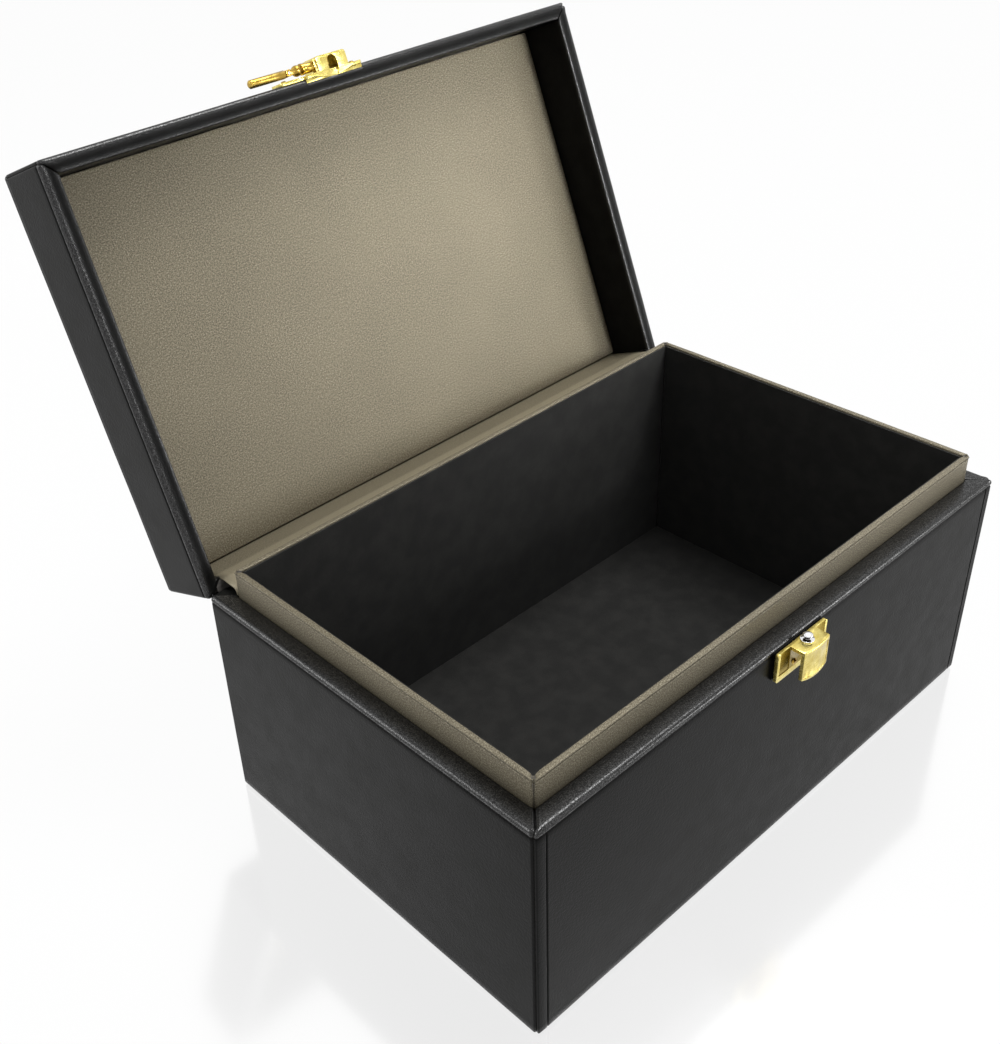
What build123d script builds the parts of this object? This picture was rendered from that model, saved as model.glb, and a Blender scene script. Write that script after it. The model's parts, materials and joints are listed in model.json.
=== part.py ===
"""Leather-covered signal-blocking key box with a hinged lid, a conductive collar and a spring latch.

Frame: millimetres, +Z up, origin at the middle of the underside, front face towards -Y.
Everything on the lid is drawn with the lid shut and is then turned back to its open resting place.
"""
import math
import os

from build123d import *

# ---- driving sizes ---------------------------------------------------------------------------

# Whole box
box_width = 195.0           # X
box_depth = 124.0           # Y
base_height = 72.0          # underside to the base's rim
lid_height = 24.5           # lid's rim to its top
closing_gap = 0.2           # between the two rims when the box is shut
open_angle = 111.8          # lid leans this far back before its lining strip is taut

# Boards and coverings
leather = 0.8               # leatherette
lid_board = 3.0
lid_top_board = 4.0
floor_board = 3.0
fabric = 0.3                # conductive fabric
lining_sheet = 0.5          # dark lining inside the collar
collar_board = 1.1
collar_height = 8.4         # collar stands this far above the base's rim
collar_clearance = 1.0      # between the collar and the lid's walls when the box is shut
panel_board = 3.4           # board inside the lid's covered panel
floor_pad = 1.5

# Leatherette edges and seams
edge_round = 1.3            # outer corners and edges
seam_gap = 0.3              # between neighbouring pieces of leatherette
front_return = 1.2          # front piece runs this far round onto the sides
back_return = 1.5           # side pieces run this far round onto the back
top_return = 1.2            # lid's top piece runs this far down its sides
turn_in = 12.0              # turned over the base's rim and down inside
turn_under = 10.0           # turned under the base
lap_line = 3.7              # pressed line on the front, from each corner
lap_width = 0.4
lap_depth = 0.3

# Collar and linings
mitre_gap = 0.3             # between neighbouring collar pieces at a corner
fabric_round = 0.6          # top edge of the collar
lining_drop = 0.6           # lining ends this far below the collar's top
pad_clearance = 0.3         # floor pad to the lining round it
pad_round = 0.5
panel_gap = 0.4             # lid panel to the walls beside and before it
panel_back_gap = 1.0        # lid panel to the hinge lining
panel_round = 0.7

# Hinge
hinge_fold = 2.4            # free leatherette between the two back walls
hinge_strip = 0.5           # hinge lining strip
strip_tuck = 10.0           # strip behind the collar, below the base's rim
strip_bend = 3.0            # radius of its bend over the lid's rim
strip_clearance = 0.3       # strip's ends to the walls beside it
strip_drop = 0.1            # strip leaves the lid's wall this far past its end
strip_up = 2.0              # strip runs this far up behind the panel's face

# Catch on the base
latch_x = -0.7              # middle of both halves, from the box's middle
catch_width = 21.2
catch_height = 9.2
catch_sheet = 1.0
catch_drop = 0.8            # top of the catch below the base's rim
catch_corner = 0.8
backing_sheet = 0.9
backing_rebate = 0.45       # step round the backing's front, behind the catch
tongue_width = 10.8
tongue_reach = 6.0          # leather to the flap's face at its two ends
flap_height = 9.0
flap_bow = 0.6              # bulge of the flap's face
flap_sag = 0.7              # bulge of its lower edge
flap_border = 0.6
flap_pocket = 0.12
bend_round = 0.5
ear_border = 0.9
ear_pocket = 0.2
ear_pocket_height = 7.4

# Peg on the catch
peg_out = 2.9               # its axis, in front of the leather
peg_foot_radius = 1.85
peg_foot = 0.25
peg_neck_radius = 0.7
peg_neck_top = 1.25
peg_head_radius = 1.35
peg_head_edge = 0.25
peg_top = 1.95
peg_rivet_radius = 0.95
peg_rivet = 0.4

# Plate and housing on the lid
plate_half = 10.3
plate_sheet = 0.9
plate_height = 9.5
plate_lift = 0.35           # above the catch's top, with the lid shut
plate_corner = 0.8
lip_reach = 1.15            # lip folded in under the lid's rim
lip_shy = 0.1               # lip short of the rim's lowest place
tab_end = 18.3              # tab behind the finger bar, from the latch's middle
tab_rise = 1.4              # above the plate's lower edge
tab_height = 6.0
ear_sheet = 0.6
ear_rise = 6.0
ear_reach = 4.8
ear_slit = 0.4              # between the plate's ear and the housing
housing_half = 5.4
housing_reach = 5.1
housing_height = 7.2
housing_sheet = 0.5
housing_floor = 0.35
housing_round = 0.9
slot_radius = 1.7           # mouth for the peg

# Bolt
rod_radius = 0.75
rod_rise = 2.0              # its axis above the catch's top, with the lid shut
slide_fit = 0.08            # radial running clearance
bolt_travel = 1.6           # drawn back against its spring
spring_pressed = 0.9        # least length of the spring
nose_tip = 0.15             # to the peg's neck
nose_width = 1.6
nose_low = 0.75             # blade's lower and upper faces above the catch's top
nose_high = 1.18
nose_shy = 0.3              # thick part of the nose to the peg's head
flange_width = 0.4
flange_radius = 1.1
spring_wire = 0.2
spring_radius = 0.95
spring_turns = 2.0
barrel_radius = 1.5
barrel_length = 3.4
ring_radius = 1.65
ring_width = 0.7
ball_radius = 1.6
ball_step = 1.5             # ring's far face to the ball's middle
eye_step = 3.2              # ball's middle to the finger bar's pivot
eye_radius = 1.0
cheek = 0.6
cheek_half_width = 0.8
fork_room = 0.3             # fork's gap beyond the tang

# Finger bar
tang = 1.0
tang_fit = 0.06             # tang to each cheek
tang_radius = 0.95
pin_radius = 0.45
pin_fit = 0.05
bar_radius = 1.2
bar_start = 1.3             # pivot to the round part
bar_length = 13.5           # pivot to the far end
bar_end_round = 0.35

# Nails
nail_shank_width = 0.9
nail_head_radius = 0.95
nail_crown_radius = 0.55
nail_head = 0.45
nail_bite = 3.1             # depth in leather and board
nail_edge = 2.1             # from the plate's edges
catch_nail_spread = 3.2
catch_nail_drop = 6.0

# ---- sizes that follow -----------------------------------------------------------------------

half_width = box_width / 2
half_depth = box_depth / 2
lid_foot = base_height + closing_gap
lid_top = lid_foot + lid_height
lid_wall = leather + lid_board + leather
collar_inset = lid_wall + collar_clearance
base_board = collar_inset - 2 * leather
board_inset = leather + base_board
floor_top = leather + floor_board
collar_top = base_height + collar_height
collar_wall = fabric + collar_board + fabric + lining_sheet
lining_inset = collar_inset + fabric + collar_board + fabric
panel_face = lid_top - leather - lid_top_board - panel_board - fabric
hinge_y = half_depth - leather / 2
hinge_z = base_height - hinge_fold / 2
fold_foot = base_height - hinge_fold
hinge_half = half_width - collar_inset - strip_clearance
lean = math.radians(open_angle)
margin = 5.0                # spare length on cutting shapes
reach = turn_under + 3 * margin  # depth of the corner mitres, past every covering

tongue_top = base_height - catch_drop
catch_face = backing_sheet + catch_sheet
latch_place = Pos(latch_x, 0, 0)
rod_z = tongue_top + rod_rise
spring_room = bolt_travel + spring_pressed
flange_at = housing_half - housing_sheet - spring_room - flange_width
barrel_at = housing_half + ear_slit + ear_sheet
ring_at = barrel_at + barrel_length
ball_at = ring_at + ring_width + ball_step
pivot_at = ball_at + eye_step


# ---- helpers ---------------------------------------------------------------------------------

def block(x0, x1, y0, y1, z0, z1):
    """Box between two opposite corners."""
    return Pos((x0 + x1) / 2, (y0 + y1) / 2, (z0 + z1) / 2) * Box(x1 - x0, y1 - y0, z1 - z0)


def frame_block(inset, z0, z1):
    """Block over the box's plan, drawn in by inset on all four sides."""
    half_x = half_width - inset
    half_y = half_depth - inset
    return block(-half_x, half_x, -half_y, half_y, z0, z1)


def band(inset, thickness, z0, z1):
    """Four-sided wall, its outside drawn in by inset."""
    return frame_block(inset, z0, z1) - frame_block(inset + thickness, z0 - margin, z1 + margin)


def prism(points, z0, z1):
    """Upright prism over a plan outline."""
    return Pos(0, 0, z0) * extrude(make_face(Polyline(*points, close=True)), z1 - z0)


def corner_zones(front_shift, back_shift, gap, z0, z1):
    """Four upright zones that part a four-sided wall at its corners, with 45 degree cuts.

    A shift moves the cut round the corner: the front zone takes front_shift of the side face, and
    the side zones take back_shift of the back face.
    """
    slack = gap / math.sqrt(2)
    out_x = half_width + margin
    in_x = half_width - reach
    front_cut = -half_depth + front_shift - slack
    side_front_cut = front_cut + 2 * slack
    side_back_cut = half_depth + back_shift - slack
    back_cut = side_back_cut + 2 * slack
    front = [(-out_x, -half_depth - 3 * margin), (out_x, -half_depth - 3 * margin),
             (out_x, front_cut - margin), (in_x, front_cut + reach),
             (-in_x, front_cut + reach), (-out_x, front_cut - margin)]
    right = [(out_x, side_front_cut - margin), (out_x, side_back_cut + margin),
             (in_x, side_back_cut - reach), (in_x, side_front_cut + reach)]
    back = [(in_x, back_cut - reach), (out_x, back_cut + margin), (out_x, half_depth + 3 * margin),
            (-out_x, half_depth + 3 * margin), (-out_x, back_cut + margin), (-in_x, back_cut - reach)]
    left = [(-x, y) for x, y in right]
    outlines = {"front": front, "back": back, "left": left, "right": right}
    return {side: prism(points, z0, z1) for side, points in outlines.items()}


def edges_on(shape, axis, value):
    """Edges that lie wholly in the plane axis = value."""
    return shape.edges().filter_by_position(axis, value - 0.001, value + 0.001)


def rounded_frame_block(z0, z1):
    """The box's outer form between two heights, with rounded corners and edges."""
    form = frame_block(0, z0, z1)
    return fillet(form.edges(), edge_round)


def dome(radius, height, z):
    """Arc over a round head, from its edge at height z to its crown on the Z axis."""
    sphere = (radius ** 2 + height ** 2) / (2 * height)
    half_turn = math.asin(radius / sphere) / 2
    middle = (sphere * math.sin(half_turn), z + height - sphere * (1 - math.cos(half_turn)))
    return ThreePointArc((radius, z), middle, (0, z + height))


def turned_solid(outline):
    """Solid of revolution about the Z axis, from its outline as (radius, z) points or lines."""
    return revolve(Plane.XZ * make_face(outline), Axis.Z, 360)


def nail_shank(x, face_out, z):
    """Square shank of a nail driven straight back into the front wall, and the hole that it fills."""
    half = nail_shank_width / 2
    return block(x - half, x + half, -half_depth - face_out, -half_depth + nail_bite, z - half, z + half)


def nail(x, face_out, z):
    """Nail with a round, tapered head that sits on a plate at face_out."""
    head = Pos(0, 0, nail_head / 2) * Cone(nail_head_radius, nail_crown_radius, nail_head)
    return Pos(x, -half_depth - face_out, z) * (Rot(90, 0, 0) * head) + nail_shank(x, face_out, z)


def opened(shape):
    """Turn a lid piece from shut to its open resting place."""
    return Pos(0, hinge_y, hinge_z) * (Rot(-open_angle, 0, 0) * (Pos(0, -hinge_y, -hinge_z) * shape))


pieces = {}

# ---- base boards -----------------------------------------------------------------------------

wall_top = base_height - leather
catch_nails = [(-catch_nail_spread, tongue_top - catch_nail_drop),
               (catch_nail_spread, tongue_top - catch_nail_drop)]
catch_holes = [nail_shank(x, catch_face, z) for x, z in catch_nails]
catch_bores = [latch_place * hole for hole in catch_holes]

side_inner = half_width - board_inset
side_outer = half_width - leather
end_inner = half_depth - board_inset
end_outer = half_depth - leather
front_board = block(-side_inner, side_inner, -end_outer, -end_inner, leather, wall_top)
pieces["base_front_board"] = front_board - catch_bores
pieces["base_back_board"] = block(-side_inner, side_inner, end_inner, end_outer, leather, fold_foot)
pieces["base_left_board"] = block(-side_outer, -side_inner, -end_outer, end_outer, leather, wall_top)
pieces["base_right_board"] = block(side_inner, side_outer, -end_outer, end_outer, leather, wall_top)
pieces["base_floor_board"] = frame_block(board_inset, leather, floor_top)
pieces["underside_sheet"] = frame_block(turn_under + seam_gap, 0, leather)

# ---- base leatherette ------------------------------------------------------------------------

skin = rounded_frame_block(0, base_height)
skin -= band(leather, base_board, leather, wall_top)
skin -= frame_block(turn_under, -margin, leather)
skin -= frame_block(board_inset, leather, base_height - turn_in)
skin -= frame_block(collar_inset, base_height - turn_in, base_height + margin)

zones = corner_zones(front_return, back_return, seam_gap, -margin, base_height + margin)
corner_end = half_width - collar_inset
fold_cut = fold_foot - seam_gap / 2

front_leather = skin & zones["front"]
for side in (-1, 1):
    line_x = side * (half_width - lap_line)
    groove = block(line_x - lap_width / 2, line_x + lap_width / 2,
                   -half_depth - margin, -half_depth + lap_depth, -margin, base_height + margin)
    front_leather -= groove
pieces["base_front_leather"] = front_leather - catch_bores

back_outer = skin & zones["back"] & block(-half_width, half_width, half_depth - turn_under,
                                          half_depth, 0, fold_cut)
pieces["base_back_leather"] = back_outer - block(-half_width, half_width, 0, end_inner + leather,
                                                 leather, base_height)

hinge_channel = block(-corner_end, corner_end, half_depth - collar_inset - margin,
                      half_depth + margin, base_height - turn_in - margin, base_height + margin)
hinge_channel -= block(-half_width, half_width, end_outer, half_depth + margin,
                       -margin, fold_foot)
corner_cover = block(corner_end, half_width, end_inner, half_depth, fold_foot, base_height)
right_leather = (skin & zones["right"]) + (skin & corner_cover)
right_leather -= hinge_channel
pieces["base_right_leather"] = right_leather
pieces["base_left_leather"] = mirror(right_leather, about=Plane.YZ)

# ---- collar and linings ----------------------------------------------------------------------

collar_zones = corner_zones(0, 0, mitre_gap, -margin, collar_top + margin)
collar_core = band(collar_inset + fabric, collar_board, floor_top, collar_top - fabric)
wrap = band(collar_inset, 2 * fabric + collar_board, floor_top, collar_top)
wrap = fillet(edges_on(wrap, Axis.Z, collar_top), fabric_round)
wrap -= collar_core
lining = band(lining_inset, lining_sheet, floor_top, collar_top - lining_drop)
for side, zone in collar_zones.items():
    pieces[f"collar_{side}_board"] = collar_core & zone
    pieces[f"collar_{side}_fabric"] = wrap & zone
    pieces[f"lining_{side}"] = lining & zone
pad_inset = collar_inset + collar_wall + pad_clearance
pad = frame_block(pad_inset, floor_top, floor_top + floor_pad)
pieces["lining_floor"] = fillet(edges_on(pad, Axis.Z, floor_top + floor_pad), pad_round)

# ---- catch on the base's front ---------------------------------------------------------------

catch_foot = tongue_top - catch_height
plate_y = -half_depth - catch_face
tongue_y = -half_depth - tongue_reach
half_tongue = tongue_width / 2


def upright_sheet(width, z0, z1, y0, y1, corner):
    """Flat sheet standing on the front, with four rounded corners."""
    sheet = block(-width / 2, width / 2, y0, y1, z0, z1)
    return fillet(sheet.edges().filter_by(Axis.Y), corner)


backing = upright_sheet(catch_width, catch_foot, tongue_top,
                        -half_depth - backing_sheet + backing_rebate, -half_depth, catch_corner)
backing += upright_sheet(catch_width - 2 * backing_rebate, catch_foot + backing_rebate,
                         tongue_top - backing_rebate, -half_depth - backing_sheet, -half_depth,
                         catch_corner - backing_rebate)
pieces["catch_backing"] = latch_place * (backing - catch_holes)

plate = upright_sheet(catch_width, catch_foot, tongue_top, plate_y, plate_y + catch_sheet, catch_corner)
bow_radius = (half_tongue ** 2 + flap_bow ** 2) / (2 * flap_bow)
bow_y = tongue_y - flap_bow + bow_radius
bow_axis = Pos(0, bow_y, tongue_top)
bow_length = 2 * (catch_height + margin)
bow_outer = bow_axis * Cylinder(bow_radius, bow_length)
bow_inner = bow_axis * Cylinder(bow_radius - catch_sheet, bow_length)
folded = block(-half_tongue, half_tongue, tongue_y - margin, plate_y + catch_sheet,
               tongue_top - flap_height - flap_sag, tongue_top) & bow_outer
hollow = block(-half_tongue - margin, half_tongue + margin, tongue_y - margin, plate_y,
               tongue_top - 2 * catch_height, tongue_top - catch_sheet) & bow_inner
folded -= hollow
folded -= block(-half_tongue - margin, half_tongue + margin, plate_y, plate_y + catch_sheet,
                tongue_top - 2 * catch_height, catch_foot)
flap_low = tongue_top - flap_height
sag_radius = (half_tongue ** 2 + flap_sag ** 2) / (2 * flap_sag)
sag_form = Pos(0, tongue_y, flap_low - flap_sag + sag_radius) * (
    Rot(90, 0, 0) * Cylinder(sag_radius, 4 * margin))
folded &= sag_form
front_fold = [edge for edge in edges_on(folded, Axis.Z, tongue_top)
              if edge.center().Y < tongue_y]
folded = fillet(front_fold, bend_round)
bracket = plate + folded
pocket_form = block(-half_tongue + flap_border, half_tongue - flap_border, tongue_y - margin,
                    tongue_y + margin, flap_low + flap_border / 2, tongue_top - bend_round - flap_border)
pocket_skin = bow_outer - bow_axis * Cylinder(bow_radius - flap_pocket, bow_length)
bracket -= pocket_form & pocket_skin
ear_cut = block(half_tongue, catch_width / 2 - ear_border, plate_y - margin, plate_y + ear_pocket,
                tongue_top - ear_pocket_height, tongue_top + margin)
bracket -= [ear_cut, mirror(ear_cut, about=Plane.YZ)]
bracket -= Pos(0, -half_depth - peg_out, tongue_top) * Cylinder(peg_neck_radius, 4 * catch_sheet)
pieces["catch_bracket"] = latch_place * (bracket - catch_holes)

rivet_foot = -catch_sheet - peg_rivet
dome_foot = peg_neck_top + peg_head_edge
peg_outline = Polyline((0, rivet_foot), (peg_rivet_radius, rivet_foot), (peg_rivet_radius, -catch_sheet),
                       (peg_neck_radius, -catch_sheet), (peg_neck_radius, 0), (peg_foot_radius, 0),
                       (peg_foot_radius, peg_foot), (peg_neck_radius, peg_foot),
                       (peg_neck_radius, peg_neck_top), (peg_head_radius, peg_neck_top),
                       (peg_head_radius, dome_foot))
peg_outline += dome(peg_head_radius, peg_top - dome_foot, dome_foot) + Line((0, peg_top), (0, rivet_foot))
peg = turned_solid(peg_outline)
pieces["catch_peg"] = Pos(latch_x, -half_depth - peg_out, tongue_top) * peg
pieces["catch_nails"] = Compound([latch_place * nail(x, catch_face, z) for x, z in catch_nails])

# ---- lid boards ------------------------------------------------------------------------------

plate_low = tongue_top + plate_lift
tab_low = plate_low + tab_rise
latch_nails = [((housing_half + plate_half) / 2, plate_low + nail_edge),
               (-tab_end + nail_edge, tab_low + nail_edge)]
latch_holes = [nail_shank(x, plate_sheet, z) for x, z in latch_nails]
latch_bores = [latch_place * hole for hole in latch_holes]

lid_inner_x = half_width - leather - lid_board
lid_inner_y = half_depth - leather - lid_board
lid_wall_top = lid_top - leather
lid_front_board = block(-lid_inner_x, lid_inner_x, -end_outer, -lid_inner_y,
                        lid_foot + leather, lid_wall_top)
lid_parts = {"lid_front_board": lid_front_board - latch_bores}
lid_parts["lid_back_board"] = block(-lid_inner_x, lid_inner_x, lid_inner_y, end_outer,
                                    lid_foot, lid_wall_top)
lid_parts["lid_left_board"] = block(-side_outer, -lid_inner_x, -end_outer, end_outer,
                                    lid_foot + leather, lid_wall_top)
lid_parts["lid_right_board"] = block(lid_inner_x, side_outer, -end_outer, end_outer,
                                     lid_foot + leather, lid_wall_top)
lid_parts["lid_top_board"] = frame_block(leather + lid_board, lid_wall_top - lid_top_board, lid_wall_top)

# ---- lid leatherette -------------------------------------------------------------------------

lid_skin = rounded_frame_block(lid_foot, lid_top)
lid_skin -= band(leather, lid_board, lid_foot + leather, lid_wall_top)
lid_skin -= frame_block(leather + lid_board, lid_wall_top - lid_top_board, lid_wall_top)
lid_skin -= frame_block(lid_wall, lid_foot - margin, lid_wall_top - lid_top_board)

top_cut = lid_top - top_return
lid_parts["lid_top_leather"] = lid_skin & block(-half_width, half_width, -half_depth, half_depth,
                                                top_cut + seam_gap / 2, lid_top)
lid_parts["lid_top_leather"] -= frame_block(leather, lid_foot, lid_wall_top)
lid_zones = corner_zones(front_return, back_return, seam_gap, lid_foot - margin, top_cut - seam_gap / 2)
lip_y = -half_depth + lip_reach
lip_seat = block(-plate_half, plate_half, -half_depth - margin, lip_y, lid_foot - margin, lid_foot + leather)
lid_front_leather = (lid_skin & lid_zones["front"]) - latch_place * lip_seat
lid_parts["lid_front_leather"] = lid_front_leather - latch_bores

fold_head = lid_foot + hinge_fold
lid_back_wide = lid_skin & lid_zones["back"] & block(-half_width, half_width, end_outer, half_depth,
                                                     fold_head, lid_top)
lid_back_narrow = block(-hinge_half, hinge_half, end_outer, half_depth, base_height, fold_head)
lid_parts["lid_back_leather"] = lid_back_wide + lid_back_narrow
lid_channel = block(-corner_end, corner_end, half_depth - lid_wall - margin, half_depth + margin,
                    lid_foot - margin, lid_top)
lid_channel -= block(-half_width, half_width, end_outer, half_depth + margin, fold_head, lid_top)
lid_cover = block(corner_end, half_width, lid_inner_y, half_depth, lid_foot, fold_head - seam_gap / 2)
lid_back_room = block(-lid_inner_x, lid_inner_x, lid_inner_y, end_outer, lid_foot - margin, lid_top)
lid_right_leather = ((lid_skin & lid_zones["right"]) + (lid_skin & lid_cover)) - lid_channel - lid_back_room
lid_parts["lid_right_leather"] = lid_right_leather
lid_parts["lid_left_leather"] = mirror(lid_right_leather, about=Plane.YZ)

# ---- lid panel -------------------------------------------------------------------------------

panel_half = half_width - lid_wall - panel_gap
panel_front = -half_depth + lid_wall + panel_gap
panel_back = half_depth - leather - lid_board - hinge_strip - panel_back_gap
panel_top = lid_wall_top - lid_top_board
panel = block(-panel_half, panel_half, panel_front, panel_back, panel_face, panel_top)
panel = fillet(edges_on(panel, Axis.Z, panel_face), panel_round)
panel_core = block(-panel_half + fabric, panel_half - fabric, panel_front + fabric, panel_back - fabric,
                   panel_face + fabric, panel_top)
lid_parts["lid_panel_board"] = panel_core
lid_parts["lid_panel_fabric"] = panel - panel_core

# ---- latch plate and housing on the lid ------------------------------------------------------

rod_y = -half_depth - peg_out
face_y = -half_depth - plate_sheet
rod_line = Pos(0, rod_y, rod_z) * Rot(0, 90, 0)
rod_bore = rod_line * Cylinder(rod_radius + slide_fit, 4 * tab_end)

lip_low = lid_foot + lip_shy
lip_high = lid_foot + leather
mouth = Pos(0, rod_y, plate_low) * Cylinder(slot_radius, 4 * housing_floor)
mouth += block(-slot_radius, slot_radius, rod_y, lip_y, plate_low - margin, (lip_low + lip_high) / 2)

tab = block(-tab_end, 0, face_y, -half_depth, tab_low, tab_low + tab_height)
sheet = block(-plate_half, plate_half, face_y, -half_depth, plate_low, plate_low + plate_height)
sheet = fillet(sheet.edges().filter_by(Axis.Y), plate_corner)
sheet += fillet(tab.edges().filter_by(Axis.Y).group_by(Axis.X)[0], plate_corner)
sheet += block(-plate_half, plate_half, face_y, lip_y, lip_low, lip_high)
ear = block(-barrel_at, -barrel_at + ear_sheet, -half_depth - ear_reach, -half_depth,
            plate_low, plate_low + ear_rise)
ear = fillet(ear.edges().filter_by(Axis.X).group_by(Axis.Y)[0], plate_corner)
lid_parts["latch_plate"] = (sheet + ear) - mouth - rod_bore - latch_holes

housing = block(-housing_half, housing_half, -half_depth - housing_reach, face_y,
                plate_low, plate_low + housing_height)
open_edges = housing.edges() - edges_on(housing, Axis.Y, face_y) - edges_on(housing, Axis.Z, plate_low)
housing = fillet(open_edges, housing_round)
cavity = block(-housing_half + housing_sheet, housing_half - housing_sheet,
               -half_depth - housing_reach + housing_sheet, face_y,
               plate_low + housing_floor, plate_low + housing_height - housing_sheet)
housing -= cavity
lid_parts["latch_housing"] = housing - mouth - rod_bore
lid_parts["latch_nails"] = Compound([nail(x, plate_sheet, z) for x, z in latch_nails])

# ---- bolt ------------------------------------------------------------------------------------

socket = ring_width + ball_step / 2
rod_left = -ring_at - socket
rod_right = -flange_at
rod = rod_line * (Pos(0, 0, (rod_left + rod_right) / 2) * Cylinder(rod_radius, rod_right - rod_left))
flange = Pos(0, 0, rod_right - flange_width / 2) * Cylinder(flange_radius, flange_width)
blade_tip = -peg_neck_radius - nose_tip
thick_tip = -peg_head_radius - nose_shy
nose_bottom = tongue_top + nose_low
nose_step = tongue_top + nose_high
nose_ramp = (nose_high - nose_low) / 2
nose_outline = Polyline((rod_right, nose_bottom), (blade_tip - nose_ramp, nose_bottom),
                        (blade_tip, nose_bottom + nose_ramp), (blade_tip, nose_step),
                        (thick_tip, nose_step), (thick_tip, rod_z), (rod_right, rod_z), close=True)
nose = extrude(Plane.XZ * make_face(nose_outline), nose_width / 2, both=True)
lid_parts["bolt_rod"] = rod + rod_line * flange + Pos(0, rod_y, 0) * nose

barrel = Cylinder(barrel_radius, barrel_length)
barrel -= Cylinder(rod_radius, 2 * barrel_length)
lid_parts["bolt_barrel"] = rod_line * (Pos(0, 0, -barrel_at - barrel_length / 2) * barrel)

bead_half = ball_radius * math.cos(math.asin(eye_radius / ball_radius))
ring_end = -ring_at - ring_width
bead_end = -ball_at - bead_half
eye_outline = Polyline((0, bead_end), (0, -ring_at), (ring_radius, -ring_at), (ring_radius, ring_end),
                       (eye_radius, ring_end), (eye_radius, -ball_at + bead_half))
eye_outline += ThreePointArc((eye_radius, -ball_at + bead_half), (ball_radius, -ball_at),
                             (eye_radius, bead_end))
eye = turned_solid(eye_outline + Line((eye_radius, bead_end), (0, bead_end)))
eye -= Pos(0, 0, -ring_at) * Cylinder(rod_radius, 2 * socket)
eye = rod_line * eye
half_gap = tang / 2 + tang_fit
half_fork = half_gap + cheek
fork = Pos(-pivot_at, rod_y, rod_z) * Cylinder(eye_radius, 2 * half_fork)
fork += block(-pivot_at, bead_end, rod_y - cheek_half_width, rod_y + cheek_half_width,
              rod_z - half_fork, rod_z + half_fork)
fork_gap = block(-pivot_at - 2 * eye_radius, -pivot_at + tang_radius + fork_room, rod_y - 2 * eye_radius,
                 rod_y + 2 * eye_radius, rod_z - half_gap, rod_z + half_gap)
pin_hole = Pos(-pivot_at, rod_y, rod_z) * Cylinder(pin_radius, 4 * half_fork)
lid_parts["bolt_eye"] = eye + (fork - fork_gap) - pin_hole

lid_parts["bar_pin"] = Pos(-pivot_at, rod_y, rod_z) * Cylinder(pin_radius, 2 * half_fork)

spring_rise = spring_room - spring_wire
coil = Helix(pitch=spring_rise / spring_turns, height=spring_rise, radius=spring_radius)
wire = Plane(origin=coil @ 0, z_dir=coil % 0) * Rectangle(spring_wire, spring_wire)
spring = sweep(wire, path=coil)
spring_low = -housing_half + housing_sheet + spring_wire / 2
lid_parts["bolt_spring"] = rod_line * (Pos(0, 0, spring_low) * spring)

# ---- finger bar ------------------------------------------------------------------------------

bar_round = Cylinder(bar_radius, bar_length - bar_start)
bar_round = chamfer(bar_round.edges().group_by(Axis.Z)[0], bar_end_round)
bar = Pos(-(bar_start + bar_length) / 2, 0, 0) * (Rot(0, 90, 0) * bar_round)
bar += Cylinder(tang_radius, tang)
bar += block(-bar_start - bar_end_round, 0, -tang_radius, tang_radius, -tang / 2, tang / 2)
bar -= Cylinder(pin_radius + pin_fit, 2 * tang)
lid_parts["latch_bar"] = Pos(-pivot_at, rod_y, rod_z) * bar

for name, piece in lid_parts.items():
    of_latch = name.startswith(("latch_", "bolt_", "bar_"))
    pieces[name] = opened(latch_place * piece if of_latch else piece)

# ---- hinge leatherette and lining strip, drawn with the lid open -----------------------------


def cross_section(outline, half_length):
    """Run a Y-Z outline along X, to both sides of the middle."""
    return extrude(Plane.YZ * make_face(outline), half_length, both=True)


def arc_point(centre, radius, heading):
    """Point on a right-hand bend, at the place where the path heads that far past straight up."""
    return (centre[0] - radius * math.cos(heading), centre[1] + radius * math.sin(heading))


def bend_band(centre, radius, thickness, heading0, heading1):
    """Outline of a bent sheet, from one heading to another, about a centre on its right."""
    inner = radius - thickness / 2
    outer = radius + thickness / 2
    middle = (heading0 + heading1) / 2
    turn = (heading0, middle, heading1)
    outside = ThreePointArc(*[arc_point(centre, outer, heading) for heading in turn])
    inside = ThreePointArc(*[arc_point(centre, inner, heading) for heading in reversed(turn)])
    return outside + Line(outside @ 1, inside @ 0) + inside + Line(inside @ 1, outside @ 0)


fold_radius = hinge_fold / 2 / math.tan(lean / 2)
fold_centre = (hinge_y + fold_radius, fold_foot)
pieces["hinge_leather"] = cross_section(bend_band(fold_centre, fold_radius, leather, 0, lean), hinge_half)


def opened_point(y, z):
    """Where a point of the shut lid, in the Y-Z plane, lies when the lid is open."""
    across = y - hinge_y
    up = z - hinge_z
    return (hinge_y + across * math.cos(lean) + up * math.sin(lean),
            hinge_z - across * math.sin(lean) + up * math.cos(lean))


strip_y = half_depth - collar_inset + hinge_strip / 2
wall_y = lid_inner_y - hinge_strip / 2
lid_leave = opened_point(wall_y, lid_foot - strip_drop)
over_centre = (lid_leave[0] + strip_bend * math.cos(lean), lid_leave[1] - strip_bend * math.sin(lean))
crest = over_centre[1] + strip_bend
rise_radius = crest - base_height
rise_centre = (strip_y + rise_radius, base_height)
half_strip = hinge_strip / 2
tuck_foot = base_height - strip_tuck
tucked = [(strip_y - half_strip, tuck_foot), (strip_y + half_strip, tuck_foot),
          (strip_y + half_strip, base_height), (strip_y - half_strip, base_height)]
lid_run = [opened_point(wall_y - half_strip, lid_foot - strip_drop),
           opened_point(wall_y - half_strip, panel_face + strip_up),
           opened_point(wall_y + half_strip, panel_face + strip_up),
           opened_point(wall_y + half_strip, lid_foot - strip_drop)]
strip = cross_section(Polyline(*tucked, close=True), hinge_half)
strip += cross_section(bend_band(rise_centre, rise_radius, hinge_strip, 0, math.pi / 2), hinge_half)
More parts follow.
